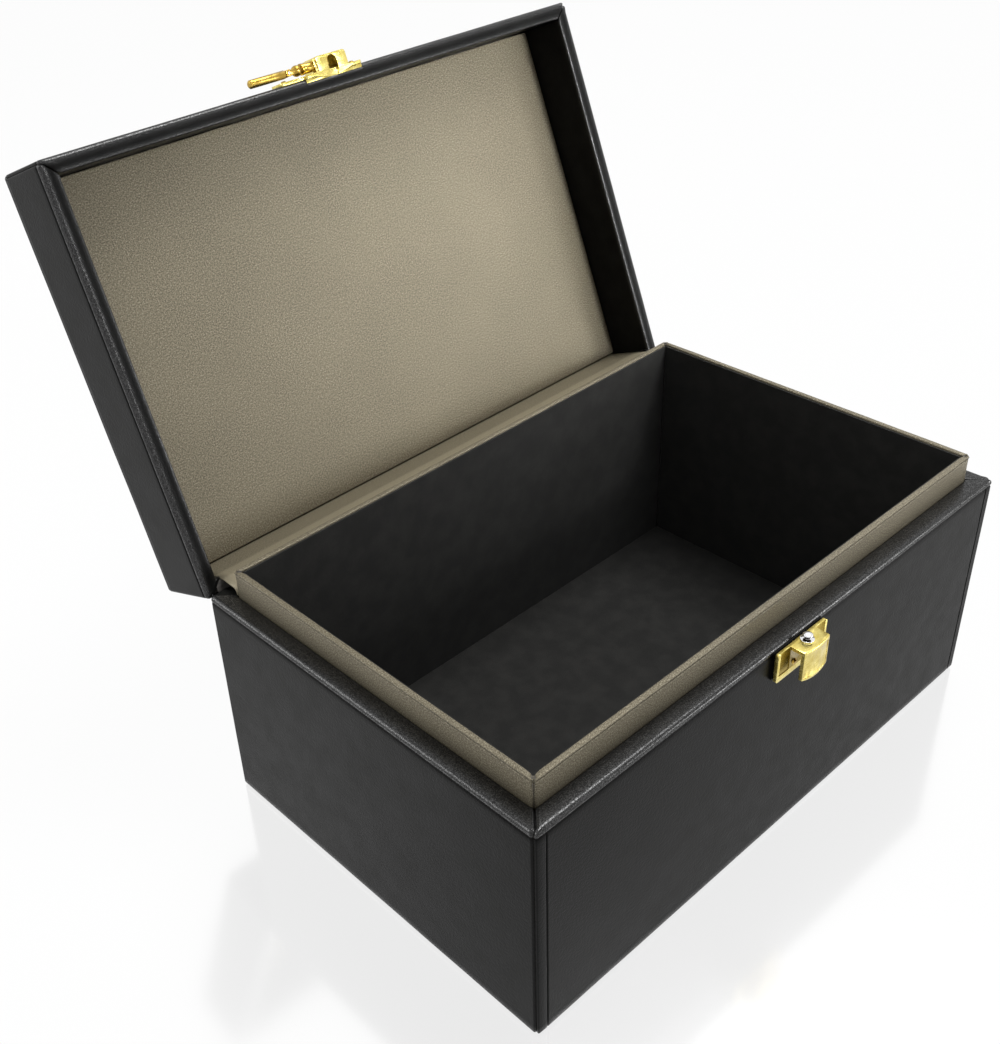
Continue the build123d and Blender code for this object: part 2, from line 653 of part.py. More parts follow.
strip += block(-hinge_half, hinge_half, rise_centre[0], over_centre[0],
               crest - half_strip, crest + half_strip)
strip += cross_section(bend_band(over_centre, strip_bend, hinge_strip, math.pi / 2, lean), hinge_half)
strip += cross_section(Polyline(*lid_run, close=True), hinge_half)
pieces["hinge_lining"] = strip

# ---- write one STEP file per piece -----------------------------------------------------------

os.makedirs("parts", exist_ok=True)
for name, piece in pieces.items():
    export_step(piece, f"parts/{name}.step")
print(len(pieces), "nodes written")
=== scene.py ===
import json
import math

import bmesh
import bpy
import numpy as np
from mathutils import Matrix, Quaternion, Vector


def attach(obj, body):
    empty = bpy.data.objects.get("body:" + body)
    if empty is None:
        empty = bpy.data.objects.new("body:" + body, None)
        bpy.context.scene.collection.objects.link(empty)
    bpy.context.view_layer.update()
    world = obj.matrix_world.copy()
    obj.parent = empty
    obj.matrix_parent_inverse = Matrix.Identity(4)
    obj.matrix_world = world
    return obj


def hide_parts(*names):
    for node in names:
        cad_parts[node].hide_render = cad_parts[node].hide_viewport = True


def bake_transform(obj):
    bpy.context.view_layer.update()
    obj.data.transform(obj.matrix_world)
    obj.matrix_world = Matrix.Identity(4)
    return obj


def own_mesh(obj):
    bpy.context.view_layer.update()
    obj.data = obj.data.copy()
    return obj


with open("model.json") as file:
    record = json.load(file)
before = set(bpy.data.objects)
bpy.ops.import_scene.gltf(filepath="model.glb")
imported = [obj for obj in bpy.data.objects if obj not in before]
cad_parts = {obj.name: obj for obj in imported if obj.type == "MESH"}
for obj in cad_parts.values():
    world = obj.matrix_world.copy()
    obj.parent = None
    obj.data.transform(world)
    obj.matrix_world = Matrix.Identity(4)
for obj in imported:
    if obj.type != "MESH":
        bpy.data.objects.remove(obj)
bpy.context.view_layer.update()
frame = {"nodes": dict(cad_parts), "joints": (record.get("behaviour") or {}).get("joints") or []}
nodes = frame["nodes"]
mm = 0.001  # a millimetre in metres; shapes are in millimetres, materials and the studio in metres
tiny = 1e-6  # millimetres that count as nought
decimals = 4  # places that agree to this many decimals are one place
print("frame loaded,", len(nodes), "nodes")

hinge = next(joint for joint in frame["joints"] if joint["name"] == "lid_hinge")
hingeAt = np.array(hinge["pos_m"]) / mm
openAngle = math.radians(hinge["range_deg"][1])


def turnLid(points, angle):
    # turns points about the hinge line, y and z by the angle's cosine and sine; above nought shuts
    turned = np.array(points, float)
    y = turned[..., 1] - hingeAt[1]
    z = turned[..., 2] - hingeAt[2]
    turned[..., 1] = hingeAt[1] + y * math.cos(angle) - z * math.sin(angle)
    turned[..., 2] = hingeAt[2] + y * math.sin(angle) + z * math.cos(angle)
    return turned


def nodePoints(name):
    # the vertices of a solid, one row each
    flat = np.empty(len(nodes[name].data.vertices) * 3)
    nodes[name].data.vertices.foreach_get("co", flat)
    return flat.reshape(-1, 3) / mm


def nodeBox(name, shut=False):
    # least and greatest corner of a solid, as it stands or turned to where the shut lid has it
    points = turnLid(nodePoints(name), openAngle) if shut else nodePoints(name)
    return points.min(0), points.max(0)


# sizes read from the frame, those of the lid with it shut
halfWidth = nodeBox("base_right_leather")[1][0]
halfDepth = -nodeBox("base_front_leather")[0][1]
baseHeight = nodeBox("base_front_leather")[1][2]
lidFoot = nodeBox("lid_front_leather", True)[0][2]
lidTop = nodeBox("lid_top_leather", True)[1][2]
collarInset = halfWidth - nodeBox("collar_right_fabric")[1][0]
collarTop = nodeBox("collar_right_fabric")[1][2]
collarThick = np.ptp(np.array(nodeBox("collar_right_fabric"))[:, 0])
lidBoard = np.array(nodeBox("lid_right_board", True))[:, 0]
lidWall = 2 * halfWidth - lidBoard.sum()  # the board's middle lies half a wall in from the side
foldFoot = nodeBox("hinge_leather")[0][2]
foldHead = lidFoot + 2 * (hingeAt[2] - foldFoot)  # as far up inside as the lid's corner covers go
hingeHalf = nodeBox("hinge_leather")[1][0]
panelLow, panelHigh = nodeBox("lid_panel_fabric", True)
latchMiddle = np.mean(nodeBox("latch_housing", True), 0)[0]
latchPlateEnd = nodeBox("latch_plate", True)[1]
lipHalf = latchPlateEnd[0] - latchMiddle


def bell(offset, width):
    # 1 at no offset, falling off as the exponential of minus the square of offset by width
    return np.exp(-(offset / width) ** 2)


rippleShape = {"waves": 7, "slowest": 0.6, "quickest": 1.5}


def ripple(x, y, wavelength, seed):
    # mean of plane waves with random headings, lengths and phases
    rng = np.random.default_rng(seed)
    waves = rippleShape["waves"]
    heading, phase = rng.uniform(0, 2 * np.pi, (2, waves))
    pace = 2 * np.pi * rng.uniform(rippleShape["slowest"], rippleShape["quickest"], waves) / wavelength
    x, y = np.asarray(x)[..., None], np.asarray(y)[..., None]
    return np.sin((x * np.cos(heading) + y * np.sin(heading)) * pace + phase).mean(-1)


# fullBend is the turn in radians to the millimetre at which a sheet counts as wholly folded
pathShape = {"arcSteps": 7, "markReach": 0.5, "markStep": 0.1, "fullBend": 0.4}


def roundedPath(stops, spacing, marks=()):
    # straight runs between the stops (inset, height, radius), with a tangent arc at each inner stop;
    # rows lie closer together round each marked height of the outer wall, where the inset is nought
    places = [np.array(stop[:2], float) for stop in stops]
    line = [places[0][None]]
    start = places[0]
    for before, corner, after, stop in zip(places, places[1:], places[2:], stops[1:]):
        into = (corner - before) / np.linalg.norm(corner - before)
        out = (after - corner) / np.linalg.norm(after - corner)
        turn = math.acos(np.clip(into @ out, -1, 1))
        side = np.sign(into[0] * out[1] - into[1] * out[0])
        entry = corner - into * stop[2] * math.tan(turn / 2)
        steps = max(int(np.linalg.norm(entry - start) / spacing), 1)
        line.append(start + (entry - start) * np.linspace(0, 1, steps + 1)[1:, None])
        sweep = np.linspace(0, turn, pathShape["arcSteps"] + 1)[1:, None]
        left = np.array([-into[1], into[0]]) * side
        line.append(entry + stop[2] * (into * np.sin(sweep) + left * (1 - np.cos(sweep))))
        start = corner + out * stop[2] * math.tan(turn / 2)
    steps = max(int(np.linalg.norm(places[-1] - start) / spacing), 1)
    line.append(start + (places[-1] - start) * np.linspace(0, 1, steps + 1)[1:, None])
    line = np.concatenate(line)
    along = np.concatenate([[0], np.cumsum(np.linalg.norm(np.diff(line, axis=0), axis=1))])
    wall = line[:, 0] < tiny
    reach, step = pathShape["markReach"], pathShape["markStep"]
    beside = np.arange(-reach, reach + step / 2, step)
    near = [np.interp(mark, line[wall, 1], along[wall]) + beside for mark in marks]
    rows = np.unique(np.round(np.concatenate([along, *near]), decimals))
    line = np.stack([np.interp(rows, along, line[:, side]) for side in (0, 1)], 1)
    heading = np.gradient(line, axis=0)
    heading /= np.linalg.norm(heading, axis=1)[:, None]
    turned = np.linalg.norm(np.gradient(heading, rows, axis=0), axis=1)
    return {"line": line, "normal": np.stack([-heading[:, 1], heading[:, 0]], 1), "along": rows,
            "bent": np.clip(turned / pathShape["fullBend"], 0, 1)}


class Outline:
    # rounded rectangle seen from above; distance runs anticlockwise from the middle of the front
    def __init__(self, halfX, halfY, radius, middle=(0, 0)):
        # the stops are the distances at which the straight runs and the corner arcs begin and end
        self.half = halfX, halfY
        self.radius = radius
        self.middle = middle
        arc = radius * math.pi / 2
        runX, runY = halfX - radius, halfY - radius
        self.stops = np.cumsum([0, runX, arc, 2 * runY, arc, 2 * runX, arc, 2 * runY, arc, runX])
        self.corners = dict(zip(("frontRight", "backRight", "backLeft", "frontLeft"), self.stops[1::2]))
        self.arc = arc
        self.length = self.stops[-1]

    def run(self, distance, inset):
        # distance as the inset curve itself measures it: its corners are shorter, or points
        turns = np.interp(np.mod(distance, self.length), self.stops, [0, 0, 1, 1, 2, 2, 3, 3, 4, 4])
        turns = turns + 4 * np.floor_divide(distance, self.length)
        return distance - turns * self.arc * np.clip(inset / self.radius, 0, 1)

    def at(self, distance, inset):
        # a straight share of each side plus an arc of what is left of the corner radius
        along = np.mod(distance, self.length)
        shareX = np.interp(along, self.stops, [0, 1, 1, 1, 1, -1, -1, -1, -1, 0])
        shareY = np.interp(along, self.stops, [-1, -1, -1, 1, 1, 1, 1, -1, -1, -1])
        facing = np.radians(np.interp(along, self.stops, [270, 270, 360, 360, 450, 450, 540, 540, 630, 630]))
        rest = np.maximum(self.radius - inset, 0)
        x = self.middle[0] + shareX * (self.half[0] - inset - rest) + rest * np.cos(facing)
        y = self.middle[1] + shareY * (self.half[1] - inset - rest) + rest * np.sin(facing)
        return x, y


def spread(start, end, step, marks=(), near=0.9, fine=0.12):
    # even places from start to end, with closer ones round each mark
    places = [np.linspace(start, end, max(int((end - start) / step), 2) + 1)]
    places += [np.arange(mark - near, mark + near, fine) for mark in marks]
    return np.unique(np.clip(np.round(np.concatenate(places), decimals), start, end))


def wrapped(outline, path, distance, relief):
    # carries the profile round the outline and pushes it out by relief along the profile's normal
    line, normal = path["line"], path["normal"]
    inset = line[:, 0:1] + relief * normal[:, 0:1]
    height = line[:, 1:2] + relief * normal[:, 1:2]
    x, y = outline.at(distance[None, :], inset)
    points = np.stack([x, y, np.broadcast_to(height, x.shape)], -1)
    flat = np.stack(np.broadcast_arrays(distance[None, :], path["along"][:, None]), -1)
    return points, flat


sheetMesh = {"weld": 0.004, "sliver": 0.002}


def gridPiece(name, points, flat, fold=0.0, keep=None):
    # one mesh of quads over a grid of points; flat is its UV map, in millimetres, and fold its
    # attribute: 1 on a bend or where shade is painted, and below nought where light is painted on fabric
    rows, columns = points.shape[:2]
    corner = np.arange(rows * columns).reshape(rows, columns)
    quads = np.stack([corner[:-1, :-1], corner[:-1, 1:], corner[1:, 1:], corner[1:, :-1]], -1)
    quads = quads.reshape(-1, 4) if keep is None else quads[keep]
    used, quads = np.unique(quads, return_inverse=True)
    faces = quads.reshape(-1, 4)
    values = np.broadcast_to(fold, (rows, columns)).reshape(-1)[used]
    mesh = bpy.data.meshes.new(name)
    mesh.from_pydata(points.reshape(-1, 3)[used] * mm, [], faces)
    mesh.uv_layers.new(name="sheet").data.foreach_set("uv", flat.reshape(-1, 2)[used][faces].ravel())
    mesh.attributes.new("fold", "FLOAT", "POINT").data.foreach_set("value", values)
    work = bmesh.new()
    work.from_mesh(mesh)
    bmesh.ops.remove_doubles(work, verts=work.verts, dist=sheetMesh["weld"] * mm)
    bmesh.ops.dissolve_degenerate(work, edges=work.edges, dist=sheetMesh["sliver"] * mm)
    work.to_mesh(mesh)
    work.free()
    mesh.shade_smooth()
    piece = bpy.data.objects.new(name, mesh)
    bpy.context.scene.collection.objects.link(piece)
    return piece


def thicken(piece, thickness, offset=-1.0):
    # the whole thickness inwards at offset -1, half of it to each side at 0
    solid = piece.modifiers.new("thickness", "SOLIDIFY")
    solid.thickness = thickness * mm
    solid.offset = offset
    solid.use_even_offset = False
    return piece


def finished(piece, material, body, *replaced):
    # the piece takes its material and slot, moves with the body and stands for the replaced solids
    piece.data.materials.clear()
    piece.data.materials.append(material)
    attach(piece, body)
    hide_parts(*replaced)
    return piece


def feed(tree, socket, value):
    # links another node's output to the socket, or sets the socket to a plain value
    if isinstance(value, bpy.types.NodeSocket):
        tree.links.new(value, socket)
    else:
        socket.default_value = value


def add(tree, kind, links=None, **settings):
    # a shader node with its settings and whatever feeds its sockets
    made = tree.nodes.new("ShaderNode" + kind)
    for setting, value in settings.items():
        setattr(made, setting, value)
    for socket, value in (links or {}).items():
        feed(tree, made.inputs[socket], value)
    return made


def calc(tree, operation, *values):
    # one sum on the values, such as their product
    return add(tree, "Math", dict(enumerate(values)), operation=operation).outputs[0]


def vectorCalc(tree, operation, *values):
    # the same for vectors, part by part
    return add(tree, "VectorMath", dict(enumerate(values)), operation=operation).outputs[0]


def noise(tree, place, pace, detail, output="Fac", **more):
    # cloudy noise at the place, with pace waves to each unit of the place
    return add(tree, "TexNoise", {"Vector": place, "Scale": pace, "Detail": detail, **more}).outputs[output]


def remap(tree, value, low, high, fromLow=0.0, fromHigh=1.0):
    # carries fromLow to low and fromHigh to high in a straight line, and holds the ends
    links = {"Value": value, "From Min": fromLow, "From Max": fromHigh, "To Min": low, "To Max": high}
    return add(tree, "MapRange", links).outputs["Result"]


def blendColours(tree, factor, first, second):
    # the first colour where the factor is 0, the second where it is 1
    made = add(tree, "Mix", data_type="RGBA")
    # its factor is socket 0, its two colours are sockets 6 and 7, and the blend comes out of 2
    for socket, value in ((made.inputs[0], factor), (made.inputs[6], first), (made.inputs[7], second)):
        feed(tree, socket, value)
    return made.outputs[2]


def startGroup(name, inputs, outputs):
    # an empty node group with its named sockets
    tree = bpy.data.node_groups.new(name, "ShaderNodeTree")
    for label, kind, value in inputs:
        socket = tree.interface.new_socket(label, in_out="INPUT", socket_type="NodeSocket" + kind)
        if value is not None:
            socket.default_value = value
    for label, kind in outputs:
        tree.interface.new_socket(label, in_out="OUTPUT", socket_type="NodeSocket" + kind)
    return tree, tree.nodes.new("NodeGroupInput").outputs, tree.nodes.new("NodeGroupOutput").inputs


def useGroup(tree, group, links):
    # places a group in a material, with that material's own values
    made = tree.nodes.new("ShaderNodeGroup")
    made.node_tree = group
    for socket, value in links.items():
        feed(tree, made.inputs[socket], value)
    return made.outputs


pebbleLook = {"cellsPerMetre": 1800.0, "softness": 0.6, "warpPace": 900.0, "warpDetail": 2.0,
              "warpReach": 0.0009, "domeRange": (0.1, 0.75), "broadPace": 160.0, "broadDetail": 3.0,
              "broadHeight": 0.5, "toneRange": (0.3, 0.7)}


def pebbleGroup():
    # height is a dome in each cell, where noise has bent the cells, plus a share of broad noise
    look = pebbleLook
    tree, given, result = startGroup(
        "pebbleGrain",
        [("Place", "Vector", None), ("Cells per metre", "Float", look["cellsPerMetre"]),
         ("Softness", "Float", look["softness"])],
        [("Height", "Float"), ("Tone", "Float")])
    warp = noise(tree, given["Place"], look["warpPace"], look["warpDetail"], "Color")
    shift = vectorCalc(tree, "MULTIPLY", warp, (look["warpReach"],) * 3)
    moved = vectorCalc(tree, "ADD", given["Place"], shift)
    links = {"Vector": moved, "Scale": given["Cells per metre"], "Smoothness": given["Softness"]}
    cells = add(tree, "TexVoronoi", links, feature="SMOOTH_F1").outputs["Distance"]
    dome = remap(tree, cells, 1.0, 0.0, *look["domeRange"])
    broad = noise(tree, given["Place"], look["broadPace"], look["broadDetail"])
    height = calc(tree, "ADD", dome, remap(tree, broad, 0.0, look["broadHeight"]))
    tree.links.new(height, result["Height"])
    tree.links.new(remap(tree, broad, 0.0, 1.0, *look["toneRange"]), result["Tone"])
    return tree


weaveLook = {"threadsPerMm": 3.0, "ribHeight": 0.6, "threadPace": 0.95, "threadDetail": 3.0,
             "threadRoughness": 0.75, "glintRange": (0.44, 0.64), "driftPace": 0.03, "driftDetail": 2.0,
             "driftRange": (0.35, 0.65)}


def weaveGroup():
    # plain weave: warp and weft ribs, the product of two sines, that pass over each other by turns,
    # with noise as fine as a thread on them, whose peaks are painted glints of the bright threads
    look = weaveLook
    tree, given, result = startGroup(
        "plainWeave",
        [("Sheet", "Vector", None), ("Threads per mm", "Float", look["threadsPerMm"])],
        [("Height", "Float"), ("Glint", "Float"), ("Tone", "Float")])
    links = {0: given["Sheet"], "Scale": given["Threads per mm"]}
    spun = add(tree, "VectorMath", links, operation="SCALE").outputs[0]
    parts = add(tree, "SeparateXYZ", {0: spun}).outputs
    waves = [calc(tree, "SINE", calc(tree, "MULTIPLY", parts[axis], 2 * math.pi)) for axis in ("X", "Y")]
    over = remap(tree, calc(tree, "MULTIPLY", *waves), 0.0, look["ribHeight"], -1.0, 1.0)
    thread = noise(tree, spun, look["threadPace"], look["threadDetail"], Roughness=look["threadRoughness"])
    tree.links.new(calc(tree, "ADD", over, thread), result["Height"])
    tree.links.new(remap(tree, thread, 0.0, 1.0, *look["glintRange"]), result["Glint"])
    drift = noise(tree, given["Sheet"], look["driftPace"], look["driftDetail"])
    tree.links.new(remap(tree, drift, 0.0, 1.0, *look["driftRange"]), result["Tone"])
    return tree


scuffLook = {"patchPace": 420.0, "patchDetail": 5.0, "patchRange": (0.35, 0.7), "least": 0.3}


def scuffGroup():
    # rubbed places: the fold times patches of noise
    look = scuffLook
    tree, given, result = startGroup(
        "rubbedPlaces", [("Place", "Vector", None), ("Fold", "Float", 0.0)], [("Mask", "Float")])
    patch = noise(tree, given["Place"], look["patchPace"], look["patchDetail"])
    scuffAndPaintedHighlight = calc(tree, "MULTIPLY", given["Fold"], remap(tree, patch, look["least"], 1.0, *look["patchRange"]))
    tree.links.new(scuffAndPaintedHighlight, result["Mask"])
    return tree


def boxGroup():
    # 1 inside a box between two corners: the least way to a face, by the soft edge's width, held at 1
    tree, given, result = startGroup(
        "insideBox", [("Place", "Vector", None), ("Low", "Vector", None), ("High", "Vector", None),
                      ("Soft", "Float", 0.0001)], [("Mask", "Float")])
    above = vectorCalc(tree, "SUBTRACT", given["Place"], given["Low"])
    below = vectorCalc(tree, "SUBTRACT", given["High"], given["Place"])
    parts = add(tree, "SeparateXYZ", {0: vectorCalc(tree, "MINIMUM", above, below)}).outputs
    least = calc(tree, "MINIMUM", calc(tree, "MINIMUM", parts["X"], parts["Y"]), parts["Z"])
    ratio = add(tree, "Math", {0: least, 1: given["Soft"]}, operation="DIVIDE", use_clamp=True).outputs[0]
    tree.links.new(ratio, result["Mask"])
    return tree


pebble, weave, scuffs, insideBox = pebbleGroup(), weaveGroup(), scuffGroup(), boxGroup()


def startMaterial(name, **constants):
    # a material with its own name, with the shader's fixed values set
    material = bpy.data.materials.new(name)
    material.use_nodes = True
    tree = material.node_tree
    shader = tree.nodes["Principled BSDF"]
    for socket, value in constants.items():
        shader.inputs[socket.replace("_", " ")].default_value = value
    return material, tree, shader, add(tree, "TexCoord").outputs["Object"]


def bumped(tree, shader, height, depth):
    # tilts the surface by the slope of height, where a height of 1 stands for depth
    bump = add(tree, "Bump", {"Height": height, "Distance": depth * mm})
    tree.links.new(bump.outputs["Normal"], shader.inputs["Normal"])


leatherFinish = {"dark": (0.004, 0.004, 0.004, 1), "light": (0.009, 0.009, 0.0085, 1),
                 "scuffAndPaintedHighlight": (0.016, 0.016, 0.016, 1), "scuffAndPaintedHighlightShare": 0.6, "cellsPerMetre": 1700.0,
                 "grainDepth": 0.03, "smooth": 0.32, "rough": 0.42, "shine": 0.06,
                 "edgePolish": 0.7, "evenPolish": 0.2, "polishRough": 0.26, "polishIndex": 1.9,
                 "crestPower": 3.0, "glintPace": 3800.0, "glintDetail": 4.0, "glintRange": (0.45, 0.62),
                 "tuckDepth": 4.0, "tuckPace": 1300.0, "tuckDetail": 1.0, "tuckTwist": 1.5}


def leatherMaterial():
    # pebbled near black; its folds are paler, from wear and a painted highlight, tucked, and polished by the
    # fold to a power times noise
    look = leatherFinish
    material, tree, shader, place = startMaterial(
        "leatherette", Specular_IOR_Level=look["shine"], Coat_Roughness=look["polishRough"],
        Coat_IOR=look["polishIndex"])
    grain = useGroup(tree, pebble, {"Place": place, "Cells per metre": look["cellsPerMetre"]})
    fold = add(tree, "Attribute", attribute_name="fold").outputs["Fac"]
    scuffAndPaintedLight = useGroup(tree, scuffs, {"Place": place, "Fold": fold})
    colour = blendColours(tree, grain["Tone"], look["dark"], look["light"])
    # the folds' paler colour is wear and a painted highlight
    colour = blendColours(tree, remap(tree, scuffAndPaintedLight["Mask"], 0.0, look["scuffAndPaintedHighlightShare"]), colour, look["scuffAndPaintedHighlight"])
    tree.links.new(colour, shader.inputs["Base Color"])
    tree.links.new(remap(tree, grain["Tone"], look["smooth"], look["rough"]), shader.inputs["Roughness"])
    glints = noise(tree, place, look["glintPace"], look["glintDetail"])
    glints = remap(tree, glints, look["evenPolish"], 1.0, *look["glintRange"])
    polish = calc(tree, "MULTIPLY", calc(tree, "POWER", fold, look["crestPower"]), glints)
    tree.links.new(remap(tree, polish, 0.0, look["edgePolish"]), shader.inputs["Coat Weight"])
    creases = noise(tree, place, look["tuckPace"], look["tuckDetail"], Distortion=look["tuckTwist"])
    tucks = calc(tree, "MULTIPLY", creases, fold)
    height = calc(tree, "MULTIPLY_ADD", tucks, look["tuckDepth"], grain["Height"])
    bumped(tree, shader, height, look["grainDepth"])
    return material


fabricFinish = {"dark": (0.085, 0.072, 0.046, 1), "light": (0.15, 0.129, 0.086, 1),
                "glint": (0.5, 0.45, 0.33, 1), "paintedShade": (0.02, 0.016, 0.01, 1),
                "scuffAndPaintedLight": (0.42, 0.37, 0.26, 1), "threadsPerMm": 2.6, "weaveDepth": 0.05, "smooth": 0.4,
                "rough": 0.5, "metal": 0.3, "shine": 0.3, "toneRange": (0.35, 0.65), "glintShare": 0.55}


def fabricMaterial():
    # woven thread with painted glints on its bright threads; fold above nought paints shade on it, below
    # nought paints light on it
    look = fabricFinish
    material, tree, shader, _ = startMaterial(
        "conductive_fabric", Metallic=look["metal"], Specular_IOR_Level=look["shine"])
    sheet = add(tree, "UVMap", uv_map="sheet").outputs["UV"]
    threads = useGroup(tree, weave, {"Sheet": sheet, "Threads per mm": look["threadsPerMm"]})
    colour = blendColours(tree, remap(tree, threads["Tone"], *look["toneRange"]), look["dark"], look["light"])
    # painted glints where the threads' noise peaks
    colour = blendColours(tree, remap(tree, threads["Glint"], 0.0, look["glintShare"]), colour, look["glint"])
    fold = add(tree, "Attribute", attribute_name="fold").outputs["Fac"]
    # painted light where fold is below nought, on the hinge's lining
    colour = blendColours(tree, remap(tree, fold, 0.0, 1.0, 0.0, -1.0), colour, look["scuffAndPaintedLight"])
    # painted shade where fold is above nought, on the collar
    colour = blendColours(tree, remap(tree, fold, 0.0, 1.0), colour, look["paintedShade"])
    tree.links.new(colour, shader.inputs["Base Color"])
    tree.links.new(remap(tree, threads["Glint"], look["rough"], look["smooth"]), shader.inputs["Roughness"])
    bumped(tree, shader, threads["Height"], look["weaveDepth"])
    return material


liningFinish = {"dark": (0.009, 0.0088, 0.008, 1), "light": (0.018, 0.0175, 0.016, 1), "depth": 0.05,
                "rough": 0.75, "nap": 0.1, "shine": 0.25, "cellsPerMetre": 2600.0, "softness": 0.3,
                "fibrePace": 3200.0, "fibreDetail": 3.0, "toneRange": (0.1, 0.5)}


def liningMaterial():
    # charcoal felt: the pebble tone times fine fibres
    look = liningFinish
    material, tree, shader, place = startMaterial(
        "dark_lining", Roughness=look["rough"], Sheen_Weight=look["nap"], Specular_IOR_Level=look["shine"])
    links = {"Place": place, "Cells per metre": look["cellsPerMetre"], "Softness": look["softness"]}
    grain = useGroup(tree, pebble, links)
    fibres = noise(tree, place, look["fibrePace"], look["fibreDetail"])
    tone = remap(tree, calc(tree, "MULTIPLY", grain["Tone"], fibres), 0.0, 1.0, *look["toneRange"])
    tree.links.new(blendColours(tree, tone, look["dark"], look["light"]), shader.inputs["Base Color"])
    bumped(tree, shader, fibres, look["depth"])
    return material


boardFinish = {"dark": (0.06, 0.055, 0.05, 1), "light": (0.14, 0.13, 0.12, 1), "depth": 0.08,
               "rough": 0.9, "layers": (300.0, 300.0, 1200.0), "pulpDetail": 6.0, "toneRange": (0.35, 0.65)}


def boardMaterial():
    # grey pulp board: noise drawn out into layers
    look = boardFinish
    material, tree, shader, place = startMaterial("board", Roughness=look["rough"])
    layered = add(tree, "Mapping", {"Vector": place, "Scale": look["layers"]}).outputs[0]
    pulp = noise(tree, layered, 1.0, look["pulpDetail"])
    tone = remap(tree, pulp, 0.0, 1.0, *look["toneRange"])
    tree.links.new(blendColours(tree, tone, look["dark"], look["light"]), shader.inputs["Base Color"])
    bumped(tree, shader, pulp, look["depth"])
    return material


undersideFinish = {"dark": (0.012, 0.012, 0.012, 1), "light": (0.03, 0.03, 0.03, 1), "depth": 0.06,
                   "rough": 0.7, "cellsPerMetre": 900.0, "softness": 0.2}


def undersideMaterial():
    # black sheet with a coarser pebble
    look = undersideFinish
    material, tree, shader, place = startMaterial("underside", Roughness=look["rough"])
    links = {"Place": place, "Cells per metre": look["cellsPerMetre"], "Softness": look["softness"]}
    grain = useGroup(tree, pebble, links)
    colour = blendColours(tree, grain["Tone"], look["dark"], look["light"])
    tree.links.new(colour, shader.inputs["Base Color"])
    bumped(tree, shader, grain["Height"], look["depth"])
    return material


# brushed draws the brush lines out: the smaller its figure, the longer they are along that axis
metalBrush = {"detail": 4.0, "toneRange": (0.15, 0.55), "roughRange": (0.1, 0.6), "depth": 0.004}
brassFinish = {"pale": (0.92, 0.79, 0.28, 1), "deep": (0.66, 0.52, 0.12, 1), "paintedDark": (0.32, 0.23, 0.03, 1),
               "smooth": 0.18, "rough": 0.32, "metal": 0.8, "brushed": (300.0, 300.0, 2500.0),
               "paintedDarkEdge": 0.1, "sheet": 1.0, "earBorder": 0.9, "earPocket": 7.4, "earTop": 0.1,
               "earFront": 0.3, "earBack": 0.6}
# a darker copy of the brass: painted shade on the bolt, the bar and the nails
paintedShadeBrassFinish = {"pale": (0.6, 0.42, 0.1, 1), "deep": (0.36, 0.22, 0.03, 1), "smooth": 0.16, "rough": 0.3,
                   "metal": 0.95, "brushed": (300.0, 1500.0, 1500.0)}
chromeFinish = {"pale": (0.92, 0.92, 0.93, 1), "deep": (0.8, 0.8, 0.82, 1), "paintedDark": (0.04, 0.035, 0.035, 1),
                "smooth": 0.05, "rough": 0.14, "metal": 1.0, "brushed": (900.0, 900.0, 900.0),
                "paintedDarkEdge": 0.05, "waistLow": 0.28, "waistHigh": 1.5, "waistReach": 1}
steelFinish = {"pale": (0.62, 0.6, 0.57, 1), "deep": (0.48, 0.47, 0.45, 1), "smooth": 0.25, "rough": 0.4,
               "metal": 1.0, "brushed": (2000.0, 500.0, 500.0)}


def metalMaterial(name, look, paintedDarkBoxes=()):
    # brush lines times rubbed patches choose between deep and pale; the boxes given to it are painted dark:
    # shade in the brass recesses, a dark reflection on the peg
    brush = metalBrush
    material, tree, shader, place = startMaterial(name, Metallic=look["metal"])
    drawn = add(tree, "Mapping", {"Vector": place, "Scale": look["brushed"]}).outputs[0]
    lines = noise(tree, drawn, 1.0, brush["detail"])
    scuffAndPaintedLight = useGroup(tree, scuffs, {"Place": place, "Fold": 1.0})
    cloud = calc(tree, "MULTIPLY", lines, scuffAndPaintedLight["Mask"])
    colour = blendColours(tree, remap(tree, cloud, 0.0, 1.0, *brush["toneRange"]), look["deep"], look["pale"])
    for low, high in paintedDarkBoxes:
        links = {"Place": place, "Low": Vector(low) * mm, "High": Vector(high) * mm,
                 "Soft": look["paintedDarkEdge"] * mm}
        # painted dark inside each box
        colour = blendColours(tree, useGroup(tree, insideBox, links)["Mask"], colour, look["paintedDark"])
    tree.links.new(colour, shader.inputs["Base Color"])
    roughness = remap(tree, cloud, look["smooth"], look["rough"], *brush["roughRange"])
    tree.links.new(roughness, shader.inputs["Roughness"])
    bumped(tree, shader, lines, brush["depth"])
    return material


def earPockets():
    # the box round the two recesses beside the catch's tongue, which join behind it; shade is painted there
    look = brassFinish
    low, high = nodeBox("catch_bracket")
    front = nodeBox("catch_backing")[0][1] - look["sheet"]
    return [((low[0] + look["earBorder"], front - look["earFront"], high[2] - look["earPocket"]),
             (high[0] - look["earBorder"], front + look["earBack"], high[2] - look["earTop"]))]


def pegWaist():
    # the box round the peg's turned neck, above the catch, where a dark reflection is painted
    look = chromeFinish
    low, high = nodeBox("catch_peg")
    foot = nodeBox("catch_bracket")[1][2]
    reach = look["waistReach"]
    return [((low[0] - reach, low[1] - reach, foot + look["waistLow"]),
             (high[0] + reach, high[1] + reach, foot + look["waistHigh"]))]


leatherette = leatherMaterial()
fabric = fabricMaterial()
lining = liningMaterial()
board = boardMaterial()
underside = undersideMaterial()
brass = metalMaterial("latch_brass", brassFinish, earPockets())
paintedShadeBrass = metalMaterial("bolt_brass_painted_shade", paintedShadeBrassFinish)
chrome = metalMaterial("chromed_peg", chromeFinish, pegWaist())
steel = metalMaterial("steel", steelFinish)
print("materials ready")

